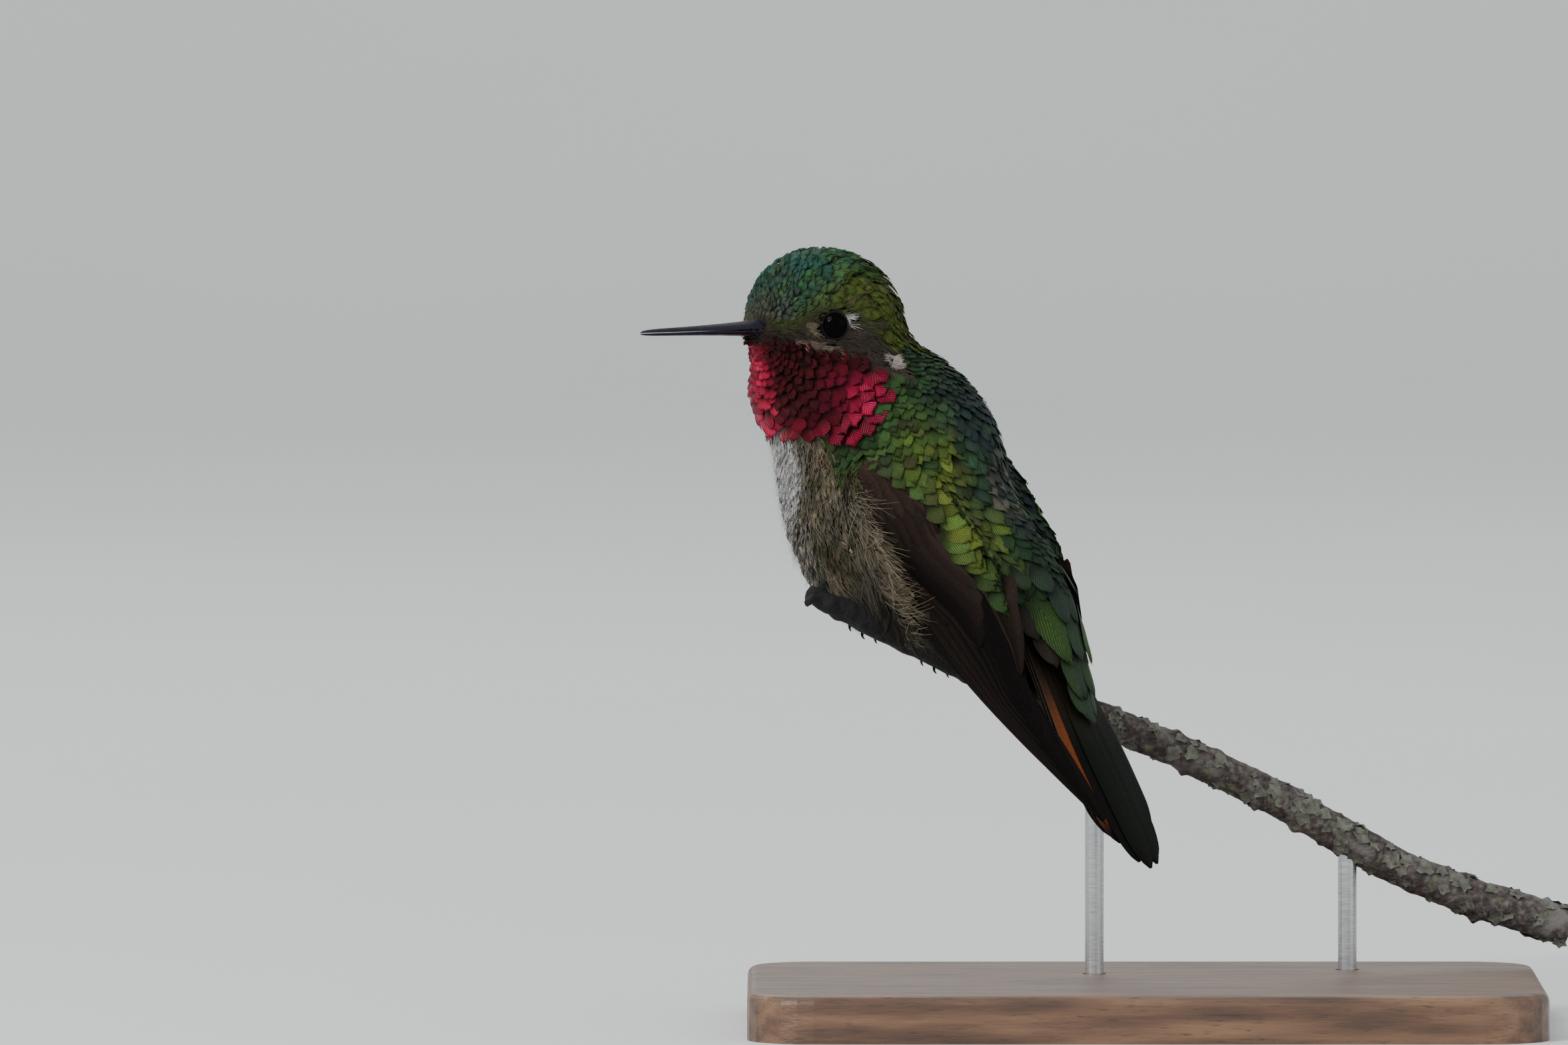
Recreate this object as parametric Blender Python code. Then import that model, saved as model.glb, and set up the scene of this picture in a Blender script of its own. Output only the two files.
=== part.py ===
"""A male broad-tailed hummingbird at life size, perched on a cut twig that two rods hold over a flat base.

All sizes are in millimetres, and MM turns them into the scene's metres when a mesh is made.
+Z is up and the origin is the middle of the base's underside. +X runs along the base, towards the thick
end of the twig. The bird's breast faces -X and a little +Y, and its head is turned to its left, towards -X
and -Y.
"""

import math

import bmesh
import bpy
import numpy as np

MM = 0.001
GAP = 0.3  # clearance between neighbouring pieces

# ---- how the bird sits ----------------------------------------------------------------------------------
BODY_HEADING = 153.0  # degrees from +X, seen from above
HEAD_HEADING = 227.0
BODY_CENTRE = (-25.0, 0.0, 55.3)  # where the body's own directions start: forward, left, up
SKULL_CENTRE = (-33.9, -0.4, 74.4)

# ---- flesh with its coat: centre, radii (along, front to back, sideways), lean back from upright --------
HEAD_RADII = (9.1, 7.8, 8.0)  # forward, left, up
HEAD_TILT = 12.0  # degrees that the skull's long way rises towards the forehead
MUZZLE_REACH = 12.0  # feather edge on the bill, ahead of the skull's centre
MUZZLE_RADII = (6.0, 3.1, 2.5)
MUZZLE_DROP = 0.7
THROAT_AT = (0.4, -0.2, -6.8)  # the gorget's bulge, in the head's directions
THROAT_RADII = (7.8, 7.4, 6.9)
CHEST = {"at": (2.4, 0.0, 2.6), "radii": (14.0, 11.2, 10.0), "lean": 36.0}
MANTLE = {"at": (-1.6, 0.0, 7.0), "radii": (10.8, 7.4, 8.2), "lean": 38.0}
FLUFF = {"at": (4.8, 0.0, -4.6), "radii": (8.8, 6.3, 7.6), "lean": 24.0}
BELLY = {"at": (-4.2, 0.0, -4.8), "radii": (12.0, 8.8, 8.4), "lean": 43.0}
RUMP = {"at": (-11.6, 0.0, -8.6), "radii": (10.4, 6.0, 6.4), "lean": 34.0}
BLEND = 3.0  # how softly those shapes run into each other
NECK_TOP, NECK_FOOT = 0.29, 0.45  # where the thin cuts part the flesh, along the spine
CROWN_AT = (-0.4, 0.0, 7.85)
FLESH_SIDES = 34
HEAD_RINGS, NECK_RINGS, TRUNK_RINGS = 16, 7, 17

# ---- bill and eyes --------------------------------------------------------------------------------------
BILL_ROOT = 8.2  # from the skull's centre
BILL_TIP = 28.3
BILL_DROP = 0.42  # the bill's line below the skull's centre
BILL_HALF_WIDTH = (1.25, 0.32)  # at the feather edge, near the tip
BILL_DEPTH = (1.5, 0.66)
BILL_TAPER = 0.45  # below 1, the bill narrows fastest near the face
BILL_UPPER_SHARE = 0.56  # of the closed bill's depth
BILL_SEAM = 0.08  # the closed mandibles leave only a hairline
BILL_RINGS, BILL_SIDES = 15, 9
EYE_AHEAD = 4.7
EYE_RADIUS = 2.2
EYE_STANDS_OUT = 0.42  # of the feathered outline
EYE_GAZE = 59.0  # degrees from straight ahead

# ---- tail and wings -------------------------------------------------------------------------------------
TAIL_BASE = (-14.8, 0.0, -11.0)  # forward, left, up from the body's centre
TAIL_TIP = (-28.8, 0.0, -38.0)
TAIL_HALF_WIDTH = 5.8
TAIL_HALF_THICKNESS = (1.0, 0.45)  # under the coverts, at the tip
TAIL_FAN_STARTS = 13.0  # from the tail's root
TAIL_ROUNDING = 0.17  # how much shorter the outer feathers end
TAIL_ARCH = 0.010
TAIL_NOTCH = 0.02
TAIL_FEATHERS = 10
TAIL_RINGS = 14
WINGS = {  # forward and up of wrist and tip; the right wing is held a little higher, clear of the twig
    "wing_left": {"side": 1.0, "wrist": (0.2, 4.6), "tip": (-26.9, -33.3), "tip_out": 7.0},
    "wing_right": {"side": -1.0, "wrist": (0.2, 6.2), "tip": (-25.0, -32.0), "tip_out": 6.5},
}
WRIST_OUT = 8.4  # from the body's middle plane
WING_FRONT, WING_BACK = 5.8, 6.0  # how far the blade reaches before and behind the line from wrist to tip
WING_POINT_BACK = 2.5  # and how far behind it near the long pointed tip
WING_HAND = (15.0, 29.0)  # from the wrist: where the inner feathers end and the long ones run on alone
WING_TIPS_APART = 4.2
WING_THICKNESS = (1.5, 0.5)
WING_ROWS, WING_COLUMNS = 26, 7

# ---- legs, perch and stand ------------------------------------------------------------------------------
TWIG_ROUTE = (
    (-35.4, -8.4, 46.2),
    (-26.9, -3.5, 41.9),
    (-15.0, 3.2, 36.2),
    (-2.5, 9.0, 31.2),
    (13.2, 13.0, 23.9),
    (29.0, 15.8, 15.1),
    (45.5, 18.0, 9.2),
)
TWIG_RADIUS = (1.25, 2.1)  # thin end, thick end
TWIG_RINGS, TWIG_SIDES = 36, 10
LEGS = {"left": (1.0, 8.6), "right": (-1.0, 18.4)}  # side, place of the foot from the twig's thin end
TOE_RADIUS = 0.3
TOE_TURN, CLAW_TURN = 105.0, 50.0  # degrees round the twig
TOES = ((0.0, 1.0), (1.7, 0.92), (-1.7, 0.92), (0.25, -0.85))  # splay along the twig, share of that turn
KNUCKLE_RISE, CLAW_ARCH, CLAW_POINT = 0.10, 0.35, 0.09
LEG_RADIUS = (0.75, 1.7)
HIP_FROM_ANKLE = (1.2, 0.3, 4.6)
ANKLE_CLEAR = 1.95  # above the bark
PERCH_CLEAR = 1.5  # the belly ends this far from the bark, over the toes
BASE_SIZE = (84.0, 56.0, 5.0)
BASE_CORNER = 7.0
ROD_RADIUS = 1.0
ROD_FROM_THIN_END = (37.0, 68.0)
ROD_IN_TWIG = 1.0
ROD_IN_BASE = 3.0
BORE_LENGTH = 9.0  # of the cutters for the rods' holes


def unit(heading):
    """Level direction at a heading in degrees."""
    angle = math.radians(heading)
    return np.array((math.cos(angle), math.sin(angle), 0.0))


UP = np.array((0.0, 0.0, 1.0))
FORWARD, LEFT = unit(BODY_HEADING), unit(BODY_HEADING + 90.0)
FACING, FACE_LEFT = unit(HEAD_HEADING), unit(HEAD_HEADING + 90.0)


def body_point(forward, left, up):
    """World place of a point given in the body's own directions."""
    return np.array(BODY_CENTRE) + forward * FORWARD + left * LEFT + up * UP


def head_point(forward, left, up):
    """World place of a point given in the turned head's directions."""
    return np.array(SKULL_CENTRE) + forward * FACING + left * FACE_LEFT + up * UP


def smoothstep(low, high, value):
    """0 below low, 1 above high and an easy slope between."""
    t = np.clip((value - low) / (high - low), 0.0, 1.0)
    return t * t * (3.0 - 2.0 * t)


def mix(a, b, share):
    return a + (b - a) * share


# ---- the flesh as one soft union of rounded shapes ------------------------------------------------------
def ellipsoid(points, centre, axes, radii):
    """Near-distance of points from an ellipsoid's surface, negative inside."""
    local = (points - centre) @ np.array(axes).T
    stretch = np.linalg.norm(local / radii, axis=-1)
    slope = np.linalg.norm(local / np.square(radii), axis=-1)
    return stretch * (stretch - 1.0) / np.maximum(slope, 1e-6)


def leaning(points, shape):
    """Distance from one of the trunk's shapes, whose long axis leans back from upright."""
    lean = math.radians(shape["lean"])
    along = math.cos(lean) * UP + math.sin(lean) * FORWARD
    breast = math.cos(lean) * FORWARD - math.sin(lean) * UP
    return ellipsoid(points, body_point(*shape["at"]), (along, breast, LEFT), np.array(shape["radii"]))


def soft_union(a, b, width):
    """Smooth minimum of two distances."""
    share = np.clip(0.5 + 0.5 * (b - a) / width, 0.0, 1.0)
    return b + (a - b) * share - width * share * (1.0 - share)


def flesh(points):
    """Distance from the bird's feathered outline without its wings, tail and feet."""
    head_axes = (FACING, FACE_LEFT, UP)
    tilt = math.radians(HEAD_TILT)
    rising = math.cos(tilt) * FACING + math.sin(tilt) * UP
    skull_axes = (rising, FACE_LEFT, np.cross(rising, FACE_LEFT))
    head = ellipsoid(points, np.array(SKULL_CENTRE), skull_axes, np.array(HEAD_RADII))
    muzzle_centre = head_point(MUZZLE_REACH - MUZZLE_RADII[0], 0.0, -MUZZLE_DROP)
    muzzle = ellipsoid(points, muzzle_centre, head_axes, np.array(MUZZLE_RADII))
    throat = ellipsoid(points, head_point(*THROAT_AT), head_axes, np.array(THROAT_RADII))
    trunk = leaning(points, CHEST)
    for shape in (MANTLE, FLUFF, BELLY, RUMP):
        trunk = soft_union(trunk, leaning(points, shape), BLEND)
    whole = soft_union(soft_union(head, muzzle, BLEND / 2), throat, BLEND / 2)
    return soft_union(whole, trunk, BLEND / 2)


def reach(starts, directions, limit=22.0, steps=90):
    """How far each ray goes from inside the flesh to its surface."""
    distances = np.linspace(0.0, limit, steps)
    samples = starts[..., None, :] + directions[..., None, :] * distances[:, None]
    outside = flesh(samples) > 0.0
    first = np.argmax(outside, axis=-1)
    low, high = distances[np.maximum(first - 1, 0)], distances[first]
    for _ in range(14):
        middle = (low + high) / 2
        inside = flesh(starts + directions * middle[..., None]) < 0.0
        low, high = np.where(inside, middle, low), np.where(inside, high, middle)
    return (low + high) / 2


# ---- curves and meshes ----------------------------------------------------------------------------------
def smooth_curve(points, count):
    """Evenly spaced points on a Catmull-Rom curve through the given ones, with their directions."""
    p = np.array(points)
    p = np.vstack((2 * p[0] - p[1], p, 2 * p[-1] - p[-2]))
    fine = []
    for i in range(1, len(p) - 2):
        t = np.linspace(0.0, 1.0, 40, endpoint=False)[:, None]
        a, b, c, d = p[i - 1 : i + 3]
        fine.append(
            0.5 * (2 * b + (c - a) * t + (2 * a - 5 * b + 4 * c - d) * t**2 + (3 * b - a - 3 * c + d) * t**3)
        )
    fine = np.vstack(fine + [p[-2:-1]])
    travelled = np.concatenate(((0.0,), np.cumsum(np.linalg.norm(np.diff(fine, axis=0), axis=1))))
    stations = np.linspace(0.0, travelled[-1], count)
    places = np.stack([np.interp(stations, travelled, fine[:, k]) for k in range(3)], axis=1)
    directions = np.gradient(places, axis=0)
    return places, directions / np.linalg.norm(directions, axis=1, keepdims=True), travelled[-1]


def frames(directions, reference):
    """Two directions across each of the given ones, the first as near the reference as it can be."""
    across = reference - directions * (directions @ reference)[:, None]
    across /= np.linalg.norm(across, axis=1, keepdims=True)
    return across, np.cross(directions, across)


def material(name, colour, roughness, metallic=0.0):
    made = bpy.data.materials.new(name)
    made.use_nodes = True
    shader = made.node_tree.nodes["Principled BSDF"]
    shader.inputs["Base Color"].default_value = (*colour, 1.0)
    shader.inputs["Roughness"].default_value = roughness
    shader.inputs["Metallic"].default_value = metallic
    return made


def make_object(name, vertices, faces, finish):
    """Closed mesh object from millimetre vertices, facing outwards."""
    mesh = bpy.data.meshes.new(name)
    mesh.from_pydata([tuple(v) for v in np.asarray(vertices) * MM], [], faces)
    work = bmesh.new()
    work.from_mesh(mesh)
    bmesh.ops.recalc_face_normals(work, faces=work.faces)
    work.to_mesh(mesh)
    work.free()
    mesh.shade_smooth()
    mesh.set_sharp_from_angle(angle=math.radians(40))
    mesh.materials.append(finish)
    made = bpy.data.objects.new(name, mesh)
    bpy.context.scene.collection.objects.link(made)
    return made


def loft(name, rings, finish, first_pole=None, last_pole=None):
    """Solid through rings of points; each end closes on its pole, or on its ring's middle."""
    rings = np.asarray(rings)
    count, sides = rings.shape[:2]
    vertices = list(rings.reshape(-1, 3))
    faces = []
    for i in range(count - 1):
        for j in range(sides):
            k = (j + 1) % sides
            faces.append((i * sides + j, i * sides + k, (i + 1) * sides + k, (i + 1) * sides + j))
    for ring, pole in ((0, first_pole), (count - 1, last_pole)):
        vertices.append(rings[ring].mean(axis=0) if pole is None else pole)
        start = ring * sides
        faces += [(start + j, start + (j + 1) % sides, len(vertices) - 1) for j in range(sides)]
    return make_object(name, vertices, faces, finish)


def plate(name, upper, lower, finish):
    """Solid between two grids of points that share their outline's order."""
    upper, lower = np.asarray(upper), np.asarray(lower)
    rows, columns = upper.shape[:2]
    size = rows * columns
    faces = []
    for i in range(rows - 1):
        for j in range(columns - 1):
            quad = (i * columns + j, i * columns + j + 1, (i + 1) * columns + j + 1, (i + 1) * columns + j)
            faces.append(quad)
            faces.append(tuple(size + v for v in reversed(quad)))
    rim = [j for j in range(columns)]
    rim += [i * columns + columns - 1 for i in range(1, rows)]
    rim += [(rows - 1) * columns + j for j in range(columns - 2, -1, -1)]
    rim += [i * columns for i in range(rows - 2, 0, -1)]
    for a, b in zip(rim, rim[1:] + rim[:1]):
        faces.append((a, b, size + b, size + a))
    return make_object(name, np.vstack((upper.reshape(-1, 3), lower.reshape(-1, 3))), faces, finish)


def tube(name, points, radii, sides, finish):
    """Round solid along a short path, with domed ends."""
    points, radii = np.asarray(points), np.asarray(radii)
    directions = np.gradient(points, axis=0)
    directions /= np.linalg.norm(directions, axis=1, keepdims=True)
    reference = np.array((0.31, 0.57, 0.76))
    across, over = frames(directions, reference)
    turns = np.linspace(0.0, 2 * math.pi, sides, endpoint=False)
    around = across[:, None] * np.cos(turns)[:, None] + over[:, None] * np.sin(turns)[:, None]
    rings = points[:, None] + around * radii[:, None, None]
    first = points[0] - directions[0] * radii[0] * 0.6
    last = points[-1] + directions[-1] * radii[-1] * 0.6
    return loft(name, rings, finish, first, last)


def boolean(target, tool, operation):
    """Apply one exact Boolean and remove its tool."""
    step = target.modifiers.new(operation.title(), "BOOLEAN")
    step.operation = operation
    step.object = tool
    bpy.context.view_layer.update()
    evaluated = target.evaluated_get(bpy.context.evaluated_depsgraph_get())
    result = bpy.data.meshes.new_from_object(evaluated)
    target.modifiers.clear()
    target.data = result
    bpy.data.objects.remove(tool)


# ---- the bird -------------------------------------------------------------------------------------------
def flesh_rings():
    """Rings of the whole flesh from the crown down to the tail's root, on one curved spine."""
    route = (
        head_point(*CROWN_AT),
        head_point(CROWN_AT[0], 0.0, 0.5),
        body_point(5.4, 1.2, 11.6),
        body_point(1.6, 0.0, 2.2),
        body_point(-5.2, 0.0, -4.8),
        body_point(*TAIL_BASE),
    )
    return smooth_curve(route, 401)


def spine_section(start, end, count, crowded_start=False):
    """Rings of the flesh between two places along the spine, given as shares of its length."""
    places, directions, length = flesh_rings()
    shares = np.linspace(0.0, 1.0, count)
    if crowded_start:
        shares = 1.0 - np.cos(shares * math.pi / 2)
    stations = np.round(mix(start, end, shares) * (len(places) - 1)).astype(int)
    centre, direction = places[stations], directions[stations]
    across, over = frames(direction, LEFT)
    turns = np.linspace(0.0, 2 * math.pi, FLESH_SIDES, endpoint=False)
    rays = across[:, None] * np.cos(turns)[:, None] + over[:, None] * np.sin(turns)[:, None]
    starts = np.broadcast_to(centre[:, None], rays.shape)
    return starts + rays * reach(starts, rays)[..., None]


def make_flesh(finishes):
    """Head, neck and trunk: one outline, parted by thin cuts."""
    half_cut = GAP / 2 / flesh_rings()[2]
    crown = head_point(*CROWN_AT)
    top = crown + UP * reach(crown[None], UP[None])[0]
    head = loft(
        "head", spine_section(0.006, NECK_TOP - half_cut, HEAD_RINGS, True), finishes["crown"], first_pole=top
    )
    loft("neck", spine_section(NECK_TOP + half_cut, NECK_FOOT - half_cut, NECK_RINGS), finishes["gorget"])
    trunk = loft("trunk", spine_section(NECK_FOOT + half_cut, 1.0, TRUNK_RINGS), finishes["breast"])
    return head, trunk


def bill_rings(upper, clearance=0.0):
    """Half-moon rings of one mandible, from its root in the head out to the tip."""
    sign, part = (1.0, BILL_UPPER_SHARE) if upper else (-1.0, 1.0 - BILL_UPPER_SHARE)
    seam = 0.0 if clearance else sign * BILL_SEAM / 2
    turns = np.linspace(0.0, math.pi, BILL_SIDES)
    rings = []
    for share in np.linspace(0.0, 1.0, BILL_RINGS):
        forward = mix(BILL_ROOT - clearance, BILL_TIP, share)
        taper = smoothstep(MUZZLE_REACH, BILL_TIP, forward) ** BILL_TAPER
        point = math.sqrt(max(1.0 - share**14, 0.004))
        half = mix(*BILL_HALF_WIDTH, taper) * point + clearance
        depth = mix(*BILL_DEPTH, taper) * point * part + clearance
        rise = seam + sign * depth * np.sin(turns) - BILL_DROP
        rings.append([head_point(forward, half * math.cos(t), up) for t, up in zip(turns, rise)])
    return rings


def make_bill(head, finish):
    """Two closed mandibles in a socket of the feathered face."""
    for upper in (True, False):
        boolean(head, loft("bill_socket", bill_rings(upper, GAP), finish), "DIFFERENCE")
    loft("bill_upper", bill_rings(True), finish)
    loft("bill_lower", bill_rings(False), finish)


def ball(name, centre, radius, finish, rings=9, sides=16):
    """Sphere as a loft of its parallels."""
    angles = np.linspace(0.0, math.pi, rings + 2)[1:-1]
    turns = np.linspace(0.0, 2 * math.pi, sides, endpoint=False)
    around = np.stack((np.cos(turns), np.sin(turns), np.zeros(sides)), axis=1)
    parallels = [centre + radius * (math.sin(a) * around + math.cos(a) * UP) for a in angles]
    return loft(name, parallels, finish, centre + radius * UP, centre - radius * UP)


def make_eyes(head, finish):
    """Eyeballs set into the sides of the head."""
    for name, side in (("eye_left", 1.0), ("eye_right", -1.0)):
        gaze = math.radians(EYE_GAZE)
        outward = math.cos(gaze) * FACING + side * math.sin(gaze) * FACE_LEFT
        start = head_point(EYE_AHEAD - 4.0 * math.cos(gaze), side * (6.5 - 4.0 * math.sin(gaze)), 0.0)
        surface = start + outward * reach(start[None], outward[None])[0]
        centre = surface - outward * (EYE_RADIUS - EYE_STANDS_OUT)
        boolean(head, ball("eye_socket", centre, EYE_RADIUS + GAP, finish), "DIFFERENCE")
        ball(name, centre, EYE_RADIUS, finish)


def make_tail(finish):
    """Tail root and folded fan, with the tips of its feathers."""
    base, tip = body_point(*TAIL_BASE), body_point(*TAIL_TIP)
    length = np.linalg.norm(tip - base)
    along = (tip - base) / length
    dorsal = np.cross(along, LEFT)
    root = spine_section(0.999, 1.0, 2)[-1] - base
    turns = np.linspace(0.0, 2 * math.pi, FLESH_SIDES, endpoint=False)
    columns, upper = np.cos(turns), np.sign(np.sin(turns))
    edge = np.sqrt(np.clip(1.0 - columns**4, 0.0, 1.0))
    between = 1.0 - np.abs(np.sin(columns * TAIL_FEATHERS / 2 * math.pi))
    rows = []
    for share in np.linspace(0.0, 1.0, TAIL_RINGS):
        travelled = share * length
        opened = smoothstep(0.0, TAIL_FAN_STARTS, travelled)
        across = columns * TAIL_HALF_WIDTH * mix(0.62, 1.0, smoothstep(2.0, 20.0, travelled))
        thick = mix(*TAIL_HALF_THICKNESS, smoothstep(6.0, 20.0, travelled))
        over = upper * edge * thick - TAIL_ARCH * across**2
        flat = LEFT * across[:, None] + dorsal * over[:, None]
        notch = TAIL_NOTCH * between * smoothstep(0.7, 1.0, share)
        reached = travelled * (1.0 - TAIL_ROUNDING * np.abs(columns) ** 2.2 - notch)
        ring = base + mix(root, flat, opened) + along * np.maximum(reached, GAP)[:, None]
        rows.append(ring)
    return loft("tail", rows, finish)


def wing_edges(along, length):
    """Front and rear reach of the folded blade at a distance from the wrist."""
    share = along / length
    shoulder = np.sqrt(np.clip(1.0 - (1.0 - np.clip(along / 8.0, 0.0, 1.0)) ** 2, 0.0, 1.0))
    narrowing = np.clip((along - 18.0) / (length - 18.0), 0.0, 1.0) ** 1.3
    front = WING_FRONT * shoulder * (1.0 - narrowing)
    point = WING_POINT_BACK * np.sqrt(np.clip(1.0 - share**6, 0.0, 1.0))
    tips = 0.3 * np.abs(np.sin(along * math.pi / WING_TIPS_APART)) * smoothstep(16.0, 20.0, along)
    rear = mix(WING_BACK * shoulder, point, smoothstep(*WING_HAND, along)) - tips * (1.0 - share)
    return front + GAP, -np.maximum(rear, GAP)


def make_wing(name, side, wrist, tip, tip_out, finish):
    """Folded wing: a curved blade that lies on the flank and runs on to its tip."""
    wrist, tip = np.array(wrist), np.array(tip)
    length = np.linalg.norm(tip - wrist)
    along_unit = (tip - wrist) / length
    front_unit = np.array((-along_unit[1], along_unit[0]))
    along = length * np.linspace(0.0, 1.0, WING_ROWS)
    front, rear = wing_edges(along, length)
    chord = np.linspace(-1.0, 1.0, WING_COLUMNS)
    across = mix(rear[:, None], front[:, None], (chord + 1.0) / 2)
    flat = wrist + along[:, None, None] * along_unit + across[..., None] * front_unit
    middle = np.array(BODY_CENTRE) + flat[..., :1] * FORWARD + flat[..., 1:] * UP
    rays = np.broadcast_to(side * LEFT, middle.shape)
    on_flank = np.where(flesh(middle) < 0.0, reach(middle, rays), 0.0) + GAP
    blade = np.broadcast_to(mix(WRIST_OUT, tip_out, along / length)[:, None], on_flank.shape)
    inner = -soft_union(-on_flank, -blade, 1.2)
    thickness = mix(*WING_THICKNESS, smoothstep(0.0, 30.0, along))[:, None] * (1.0 - 0.6 * chord**2)
    outer = inner + np.maximum(thickness, WING_THICKNESS[1])
    return plate(name, middle + rays * outer[..., None], middle + rays * inner[..., None], finish)


# ---- perch, legs and stand ------------------------------------------------------------------------------
def twig_line():
    return smooth_curve(TWIG_ROUTE, 401)


def twig_at(distance):
    """Centre, direction and radius of the twig at a distance from its thin end."""
    places, directions, length = twig_line()
    index = int(round(distance / length * (len(places) - 1)))
    return places[index], directions[index], twig_radius(distance / length)


def twig_radius(share):
    return mix(*TWIG_RADIUS, np.asarray(share) ** 0.7)


def twig_top(direction):
    """The direction out of the twig's top."""
    top = UP - direction * (UP @ direction)
    return top / np.linalg.norm(top)


def make_twig(finish):
    """Cut length of twig with a slightly uneven bark."""
    places, directions, length = smooth_curve(TWIG_ROUTE, TWIG_RINGS)
    across, over = frames(directions, UP)
    turns = np.linspace(0.0, 2 * math.pi, TWIG_SIDES, endpoint=False)
    shares = np.linspace(0.0, 1.0, TWIG_RINGS)[:, None]
    travelled = shares * length
    quiet = smoothstep(24.0, 30.0, travelled)
    knots = 0.10 * np.sin(travelled * 1.3 + 2 * turns) + 0.07 * np.sin(travelled * 2.7 - 3 * turns + 1.0)
    radius = twig_radius(shares) + quiet * knots
    around = across[:, None] * np.cos(turns)[:, None] + over[:, None] * np.sin(turns)[:, None]
    return loft("perch_twig", places[:, None] + around * radius[..., None], finish)


def clear_the_perch(trunk, finish):
    """Hollow the belly where the twig and the toes pass under it."""
    stretch = np.linspace(0.0, 30.0, 14)
    stations = [twig_at(distance) for distance in stretch]
    radii = [radius + PERCH_CLEAR for _, _, radius in stations]
    boolean(trunk, tube("groove", [centre for centre, _, _ in stations], radii, 14, finish), "DIFFERENCE")


def toe(foot, splay, turn, finish, name="toe"):
    """One toe with its claw, curled round the twig; a negative turn goes round behind it."""
    centre, direction, radius = foot
    top = twig_top(direction)
    front = np.cross(direction, top)
    front *= math.copysign(1.0, front @ FORWARD)
    bend = turn * TOE_TURN
    whole = bend + math.copysign(CLAW_TURN, turn)
    joint = bend / whole
    points, radii = [], []
    for share in np.linspace(0.0, 1.0, 10):
        angle = math.radians(whole * share - math.copysign(8.0, turn))
        claw = max(share - joint, 0.0) / (1.0 - joint)
        lift = KNUCKLE_RISE * math.sin(share * math.pi * 3.0) ** 2 + CLAW_ARCH * math.sin(claw * math.pi)
        out = (math.cos(angle) * top + math.sin(angle) * front) * (radius + GAP + TOE_RADIUS + lift)
        points.append(centre + out + direction * splay * min(share / joint, 1.0) ** 0.7)
        radii.append(mix(TOE_RADIUS * mix(1.25, 1.0, share), CLAW_POINT, claw**0.8))
    return tube(name, points, radii, 6, finish)


def make_foot(name, distance, finish):
    """Three toes forwards over the twig and one behind it, joined where they meet the leg."""
    foot = twig_at(distance)
    whole = toe(foot, *TOES[0], finish, name)
    for splay, turn in TOES[1:]:
        boolean(whole, toe(foot, splay, turn, finish), "UNION")
    return whole


def make_leg(name, distance, side, trunk, finish):
    """Short feathered leg from the flank down to the foot."""
    centre, direction, radius = twig_at(distance)
    ankle = centre + twig_top(direction) * (radius + ANKLE_CLEAR)
    hip = ankle + HIP_FROM_ANKLE[0] * FORWARD + side * HIP_FROM_ANKLE[1] * LEFT + HIP_FROM_ANKLE[2] * UP
    shares = np.linspace(0.0, 1.0, 6)
    points = [mix(ankle, hip, share) for share in shares]
    radii = np.array([mix(*LEG_RADIUS, share) for share in shares])
    boolean(trunk, tube("leg_socket", points, radii + GAP, 14, finish), "DIFFERENCE")
    tube(name, points, radii, 12, finish)


def cylinder(name, foot, height, radius, finish, sides=20):
    """Upright round bar."""
    turns = np.linspace(0.0, 2 * math.pi, sides, endpoint=False)
    ring = np.stack((radius * np.cos(turns), radius * np.sin(turns), np.zeros(sides)), axis=1)
    return loft(name, [ring + foot, ring + foot + height * UP], finish)


def make_stand(twig, wood, steel):
    """Flat base with rounded corners, and two rods let into it and into the twig's underside."""
    bpy.ops.mesh.primitive_cube_add(size=1.0, location=(0.0, 0.0, BASE_SIZE[2] / 2 * MM))
    base = bpy.context.object
    base.name = base.data.name = "stand_base"
    base.scale = [side * MM for side in BASE_SIZE]
    bpy.ops.object.transform_apply(location=True, scale=True)
    shape = bmesh.new()
    shape.from_mesh(base.data)
    upright = [e for e in shape.edges if abs(e.verts[0].co.z - e.verts[1].co.z) > MM]
    bmesh.ops.bevel(shape, geom=upright, offset=BASE_CORNER * MM, segments=6, affect="EDGES", profile=0.5)
    rim = [e for e in shape.edges if all(v.co.z > (BASE_SIZE[2] - 0.01) * MM for v in e.verts)]
    bmesh.ops.bevel(shape, geom=rim, offset=0.9 * MM, segments=3, affect="EDGES", profile=0.5)
    shape.to_mesh(base.data)
    shape.free()
    base.data.materials.append(wood)
    for number, distance in enumerate(ROD_FROM_THIN_END, start=1):
        centre, _, radius = twig_at(distance)
        foot = np.array((centre[0], centre[1], BASE_SIZE[2] - ROD_IN_BASE))
        head = centre[2] - radius + ROD_IN_TWIG
        wide = ROD_RADIUS + GAP
        boolean(base, cylinder("bore", foot - GAP * UP, BORE_LENGTH, wide, wood), "DIFFERENCE")
        under_twig = np.array((*centre[:2], head + GAP - BORE_LENGTH))
        boolean(twig, cylinder("bore", under_twig, BORE_LENGTH, wide, wood), "DIFFERENCE")
        cylinder(f"stand_rod_{number}", foot, head - foot[2], ROD_RADIUS, steel)


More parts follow.
